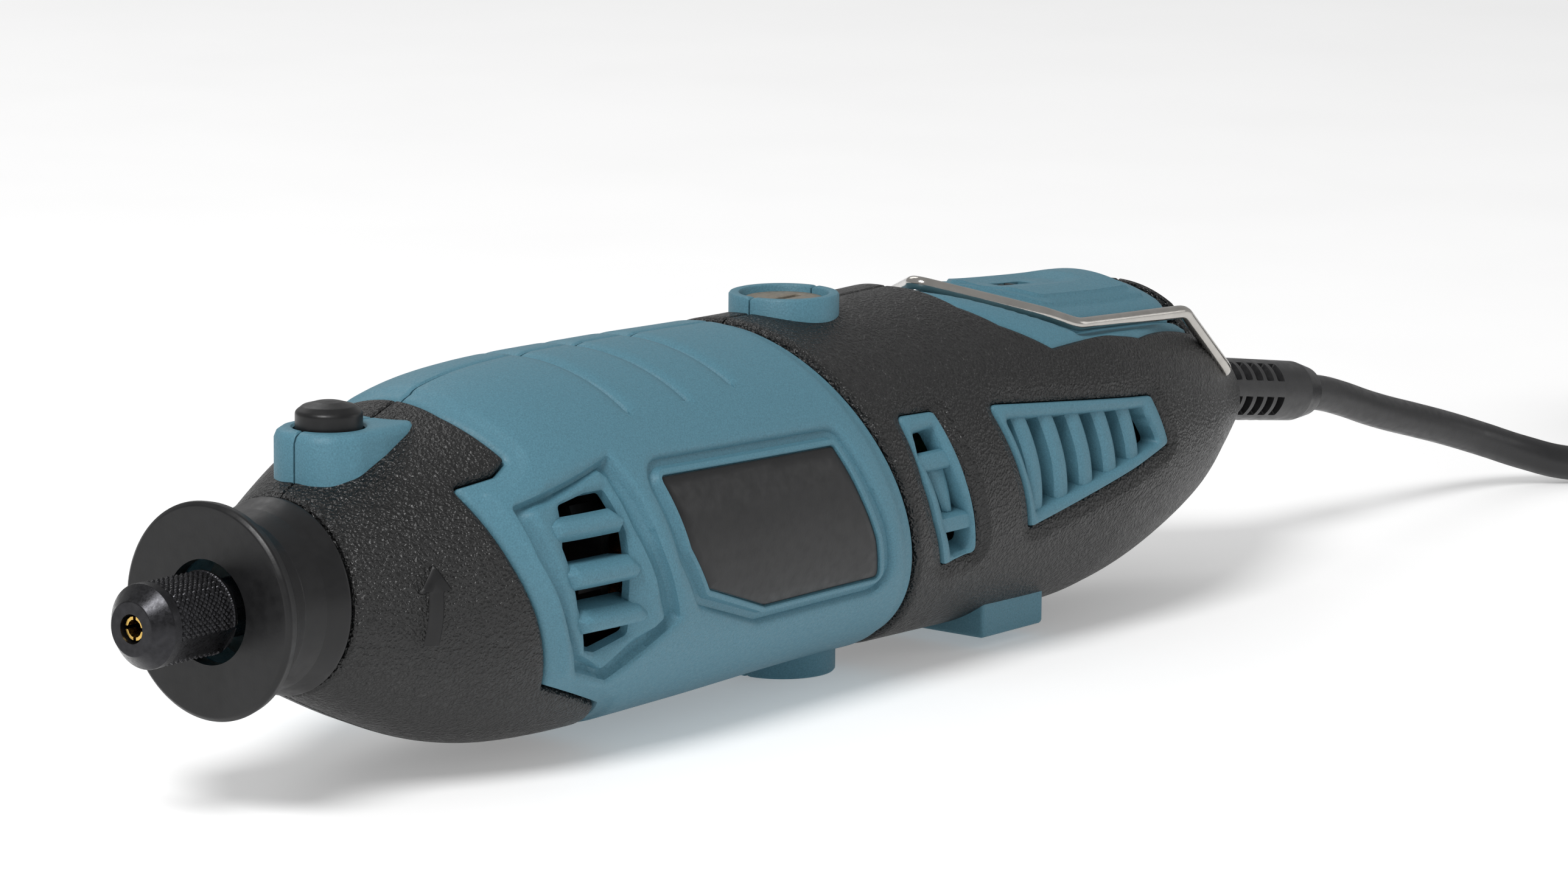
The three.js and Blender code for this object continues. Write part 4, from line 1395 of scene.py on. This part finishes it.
def make_curve(name, points, radius):
    """A round bar or cord along a smooth line of points in mm."""
    curve = bpy.data.curves.new(name, "CURVE")
    curve.dimensions = "3D"
    curve.bevel_depth = radius * MM
    curve.bevel_resolution = 6
    curve.resolution_u = 8
    curve.use_fill_caps = True
    spline = curve.splines.new("BEZIER")
    spline.bezier_points.add(len(points) - 1)
    for knot, point in zip(spline.bezier_points, to_row(points)):
        knot.co = point
        knot.handle_left_type = "AUTO"
        knot.handle_right_type = "AUTO"
    piece = bpy.data.objects.new(name, curve)
    bpy.context.scene.collection.objects.link(piece)
    return piece


def make_bail():
    """Straight lengths of wire with tight bends between them."""
    left = [[x, -y, z] for x, y, z in BAIL_CORNERS]
    route = dense(rounded(left + BAIL_CORNERS[::-1], 4.5, closed=False), 2, closed=False)
    bail = make_curve("bail_wire", route, WIRE_RADIUS)
    finish_piece(bail, "bright_steel", "hanger_bail", ["hanger_bail"])


CORD_Z = REST_Z + CORD_RADIUS + 0.2
COIL_CENTRE = (396.5, -18.5)
COIL_FIRST_ANGLE = math.radians(220)  # where the cord comes onto the coil
COIL_LAST_ANGLE = math.radians(180)  # where it leaves it
COIL_INNER = 23.6
COIL_OUTER = 36.7
COIL_LAYERS = 4
LAYER_HEIGHT = 5.75
TAIL_RADIUS = 23.2
PLUG_LIFT = 9.9  # the plug's middle over the top layer's


def cord_route():
    """Out of the boot, down to the floor, round the coil and up to the plug that lies on it."""
    start = EXIT + Vector((math.cos(EXIT_SLOPE), 0, -math.sin(EXIT_SLOPE))) * (BOOT_END - 1)
    lead = [
        [*start],
        [273, 0, -5.8],
        [279, 0, -7.5],
        [286, 0, -9.8],
        [292, -0.1, -11.6],
        [300, -0.4, -13.8],
        [309, -1.1, -16.4],
        [317.5, -2.6, -19.2],
        [325, -5.5, -22],
        [331, -9.7, -24],
        [336.6, -14.6, CORD_Z],
        [342.5, -20, CORD_Z],
        [348.8, -25.6, CORD_Z],
        [355.2, -31.2, CORD_Z],
        [361.8, -36.8, CORD_Z],
    ]
    return [*lead, *coil_turns(), *cord_tail()]


def coil_turns():
    """Spirals on layers, inwards and outwards in turn, so that the cord never crosses itself."""
    turns = 2 * COIL_LAYERS + (COIL_LAST_ANGLE - COIL_FIRST_ANGLE) / (2 * math.pi) + 1
    knots = round(turns * 18)
    points = []
    for i in range(knots + 1):
        travelled = COIL_LAYERS * i / knots
        layer = min(COIL_LAYERS - 1, int(travelled))
        inwards = abs((travelled + 1) % 2 - 1)
        radius = COIL_OUTER + (COIL_INNER - COIL_OUTER) * inwards
        angle = COIL_FIRST_ANGLE + 2 * math.pi * turns * i / knots
        z = CORD_Z + LAYER_HEIGHT * layer_climb(travelled)
        points.append(coil_point(radius, angle, z))
    return points


def layer_climb(travelled):
    """How many layers up the cord is: it climbs where it turns from one spiral to the next."""
    nearest = round(travelled)
    share = 0.085  # of a layer's length, on either side
    if nearest in (0, COIL_LAYERS) or abs(travelled - nearest) > share:
        return min(int(travelled), COIL_LAYERS - 1)
    blend = (travelled - nearest + share) / (2 * share)
    return nearest - 1 + blend * blend * (3 - 2 * blend)


def coil_point(radius, angle, z):
    return [COIL_CENTRE[0] + radius * math.cos(angle), COIL_CENTRE[1] + radius * math.sin(angle), z]


def cord_tail():
    """From the top layer inwards over the coil, on a tighter bend that ends along +X."""
    top = CORD_Z + LAYER_HEIGHT * (COIL_LAYERS - 1)
    middle_x = COIL_CENTRE[0] - COIL_OUTER + TAIL_RADIUS
    points = []
    for degrees, climbed in ((20, 0.2), (40, 0.55), (60, 0.84), (76, 0.97), (90, 1)):
        turn = math.radians(degrees)
        x = middle_x - TAIL_RADIUS * math.cos(turn)
        y = COIL_CENTRE[1] - TAIL_RADIUS * math.sin(turn)
        points.append([x, y, top + PLUG_LIFT * climbed])
    return points


def make_cord():
    route = cord_route()
    cord = make_curve("mains_cord", route, CORD_RADIUS)
    finish_piece(cord, "cord_rubber", "housing", ["cord_lead", "cord_coil", "cord_tail"])


# ---------------------------------------------------------------- assembly
make_camera()
make_cord()
make_studio()
paint_frame()

for word, side in (("left", -1), ("right", 1)):
    make_piece(f"{word}_shell", housing_half(side), "teal_plastic", "housing", [f"{word}_housing_shell"])
    make_piece(f"{word}_nose_grip", front_grip(side), "soft_grip", "housing", [f"{word}_front_grip"])
    make_piece(f"{word}_tail_grip", rear_grip(side), "soft_grip", "housing", [f"{word}_rear_grip"])
    make_piece(f"{word}_label", label_plate(side), "gloss_black_plastic", "housing", [f"{word}_label_plate"])
    make_piece(f"{word}_arrow", arrow_mark(side), "gloss_black_plastic", "housing", [])
make_piece("cover", tail_cover(), "teal_plastic", "housing", ["tail_cover"])
make_piece("nose_ring", nose_cap(), "gloss_black_plastic", "nose_cap", ["nose_cap"])
make_piece("knurled_nut", collet_nut(), "black_oxide_steel", "collet_nut", ["collet_nut"], 25)
make_piece("lock_knob", lock_button(), "gloss_black_plastic", "lock_button", ["lock_button"])
make_piece("thumb_wheel", speed_wheel(), "gloss_black_plastic", "speed_wheel", ["speed_wheel"])
lock_coil = make_piece(
    "lock_coil", coil_spring(LOCK_X, LOCK_SPRING), "bright_steel", "housing", ["lock_spring"]
)
squash_spring(lock_coil)
for word, up in (("upper", 1), ("lower", -1)):
    make_piece(f"{word}_slotted_cap", brush_cap(up), "phenolic", f"{word}_brush_cap", [f"{word}_brush_cap"])
    shape = coil_spring(BRUSH_X, BRUSH_SPRING, up)
    brush_coil = make_piece(f"{word}_brush_coil", shape, "bright_steel", "housing", [f"{word}_brush_spring"])
    squash_spring(brush_coil)
make_piece("slotted_boot", cord_boot(), "cord_rubber", "housing", ["cord_boot"])
make_bail()
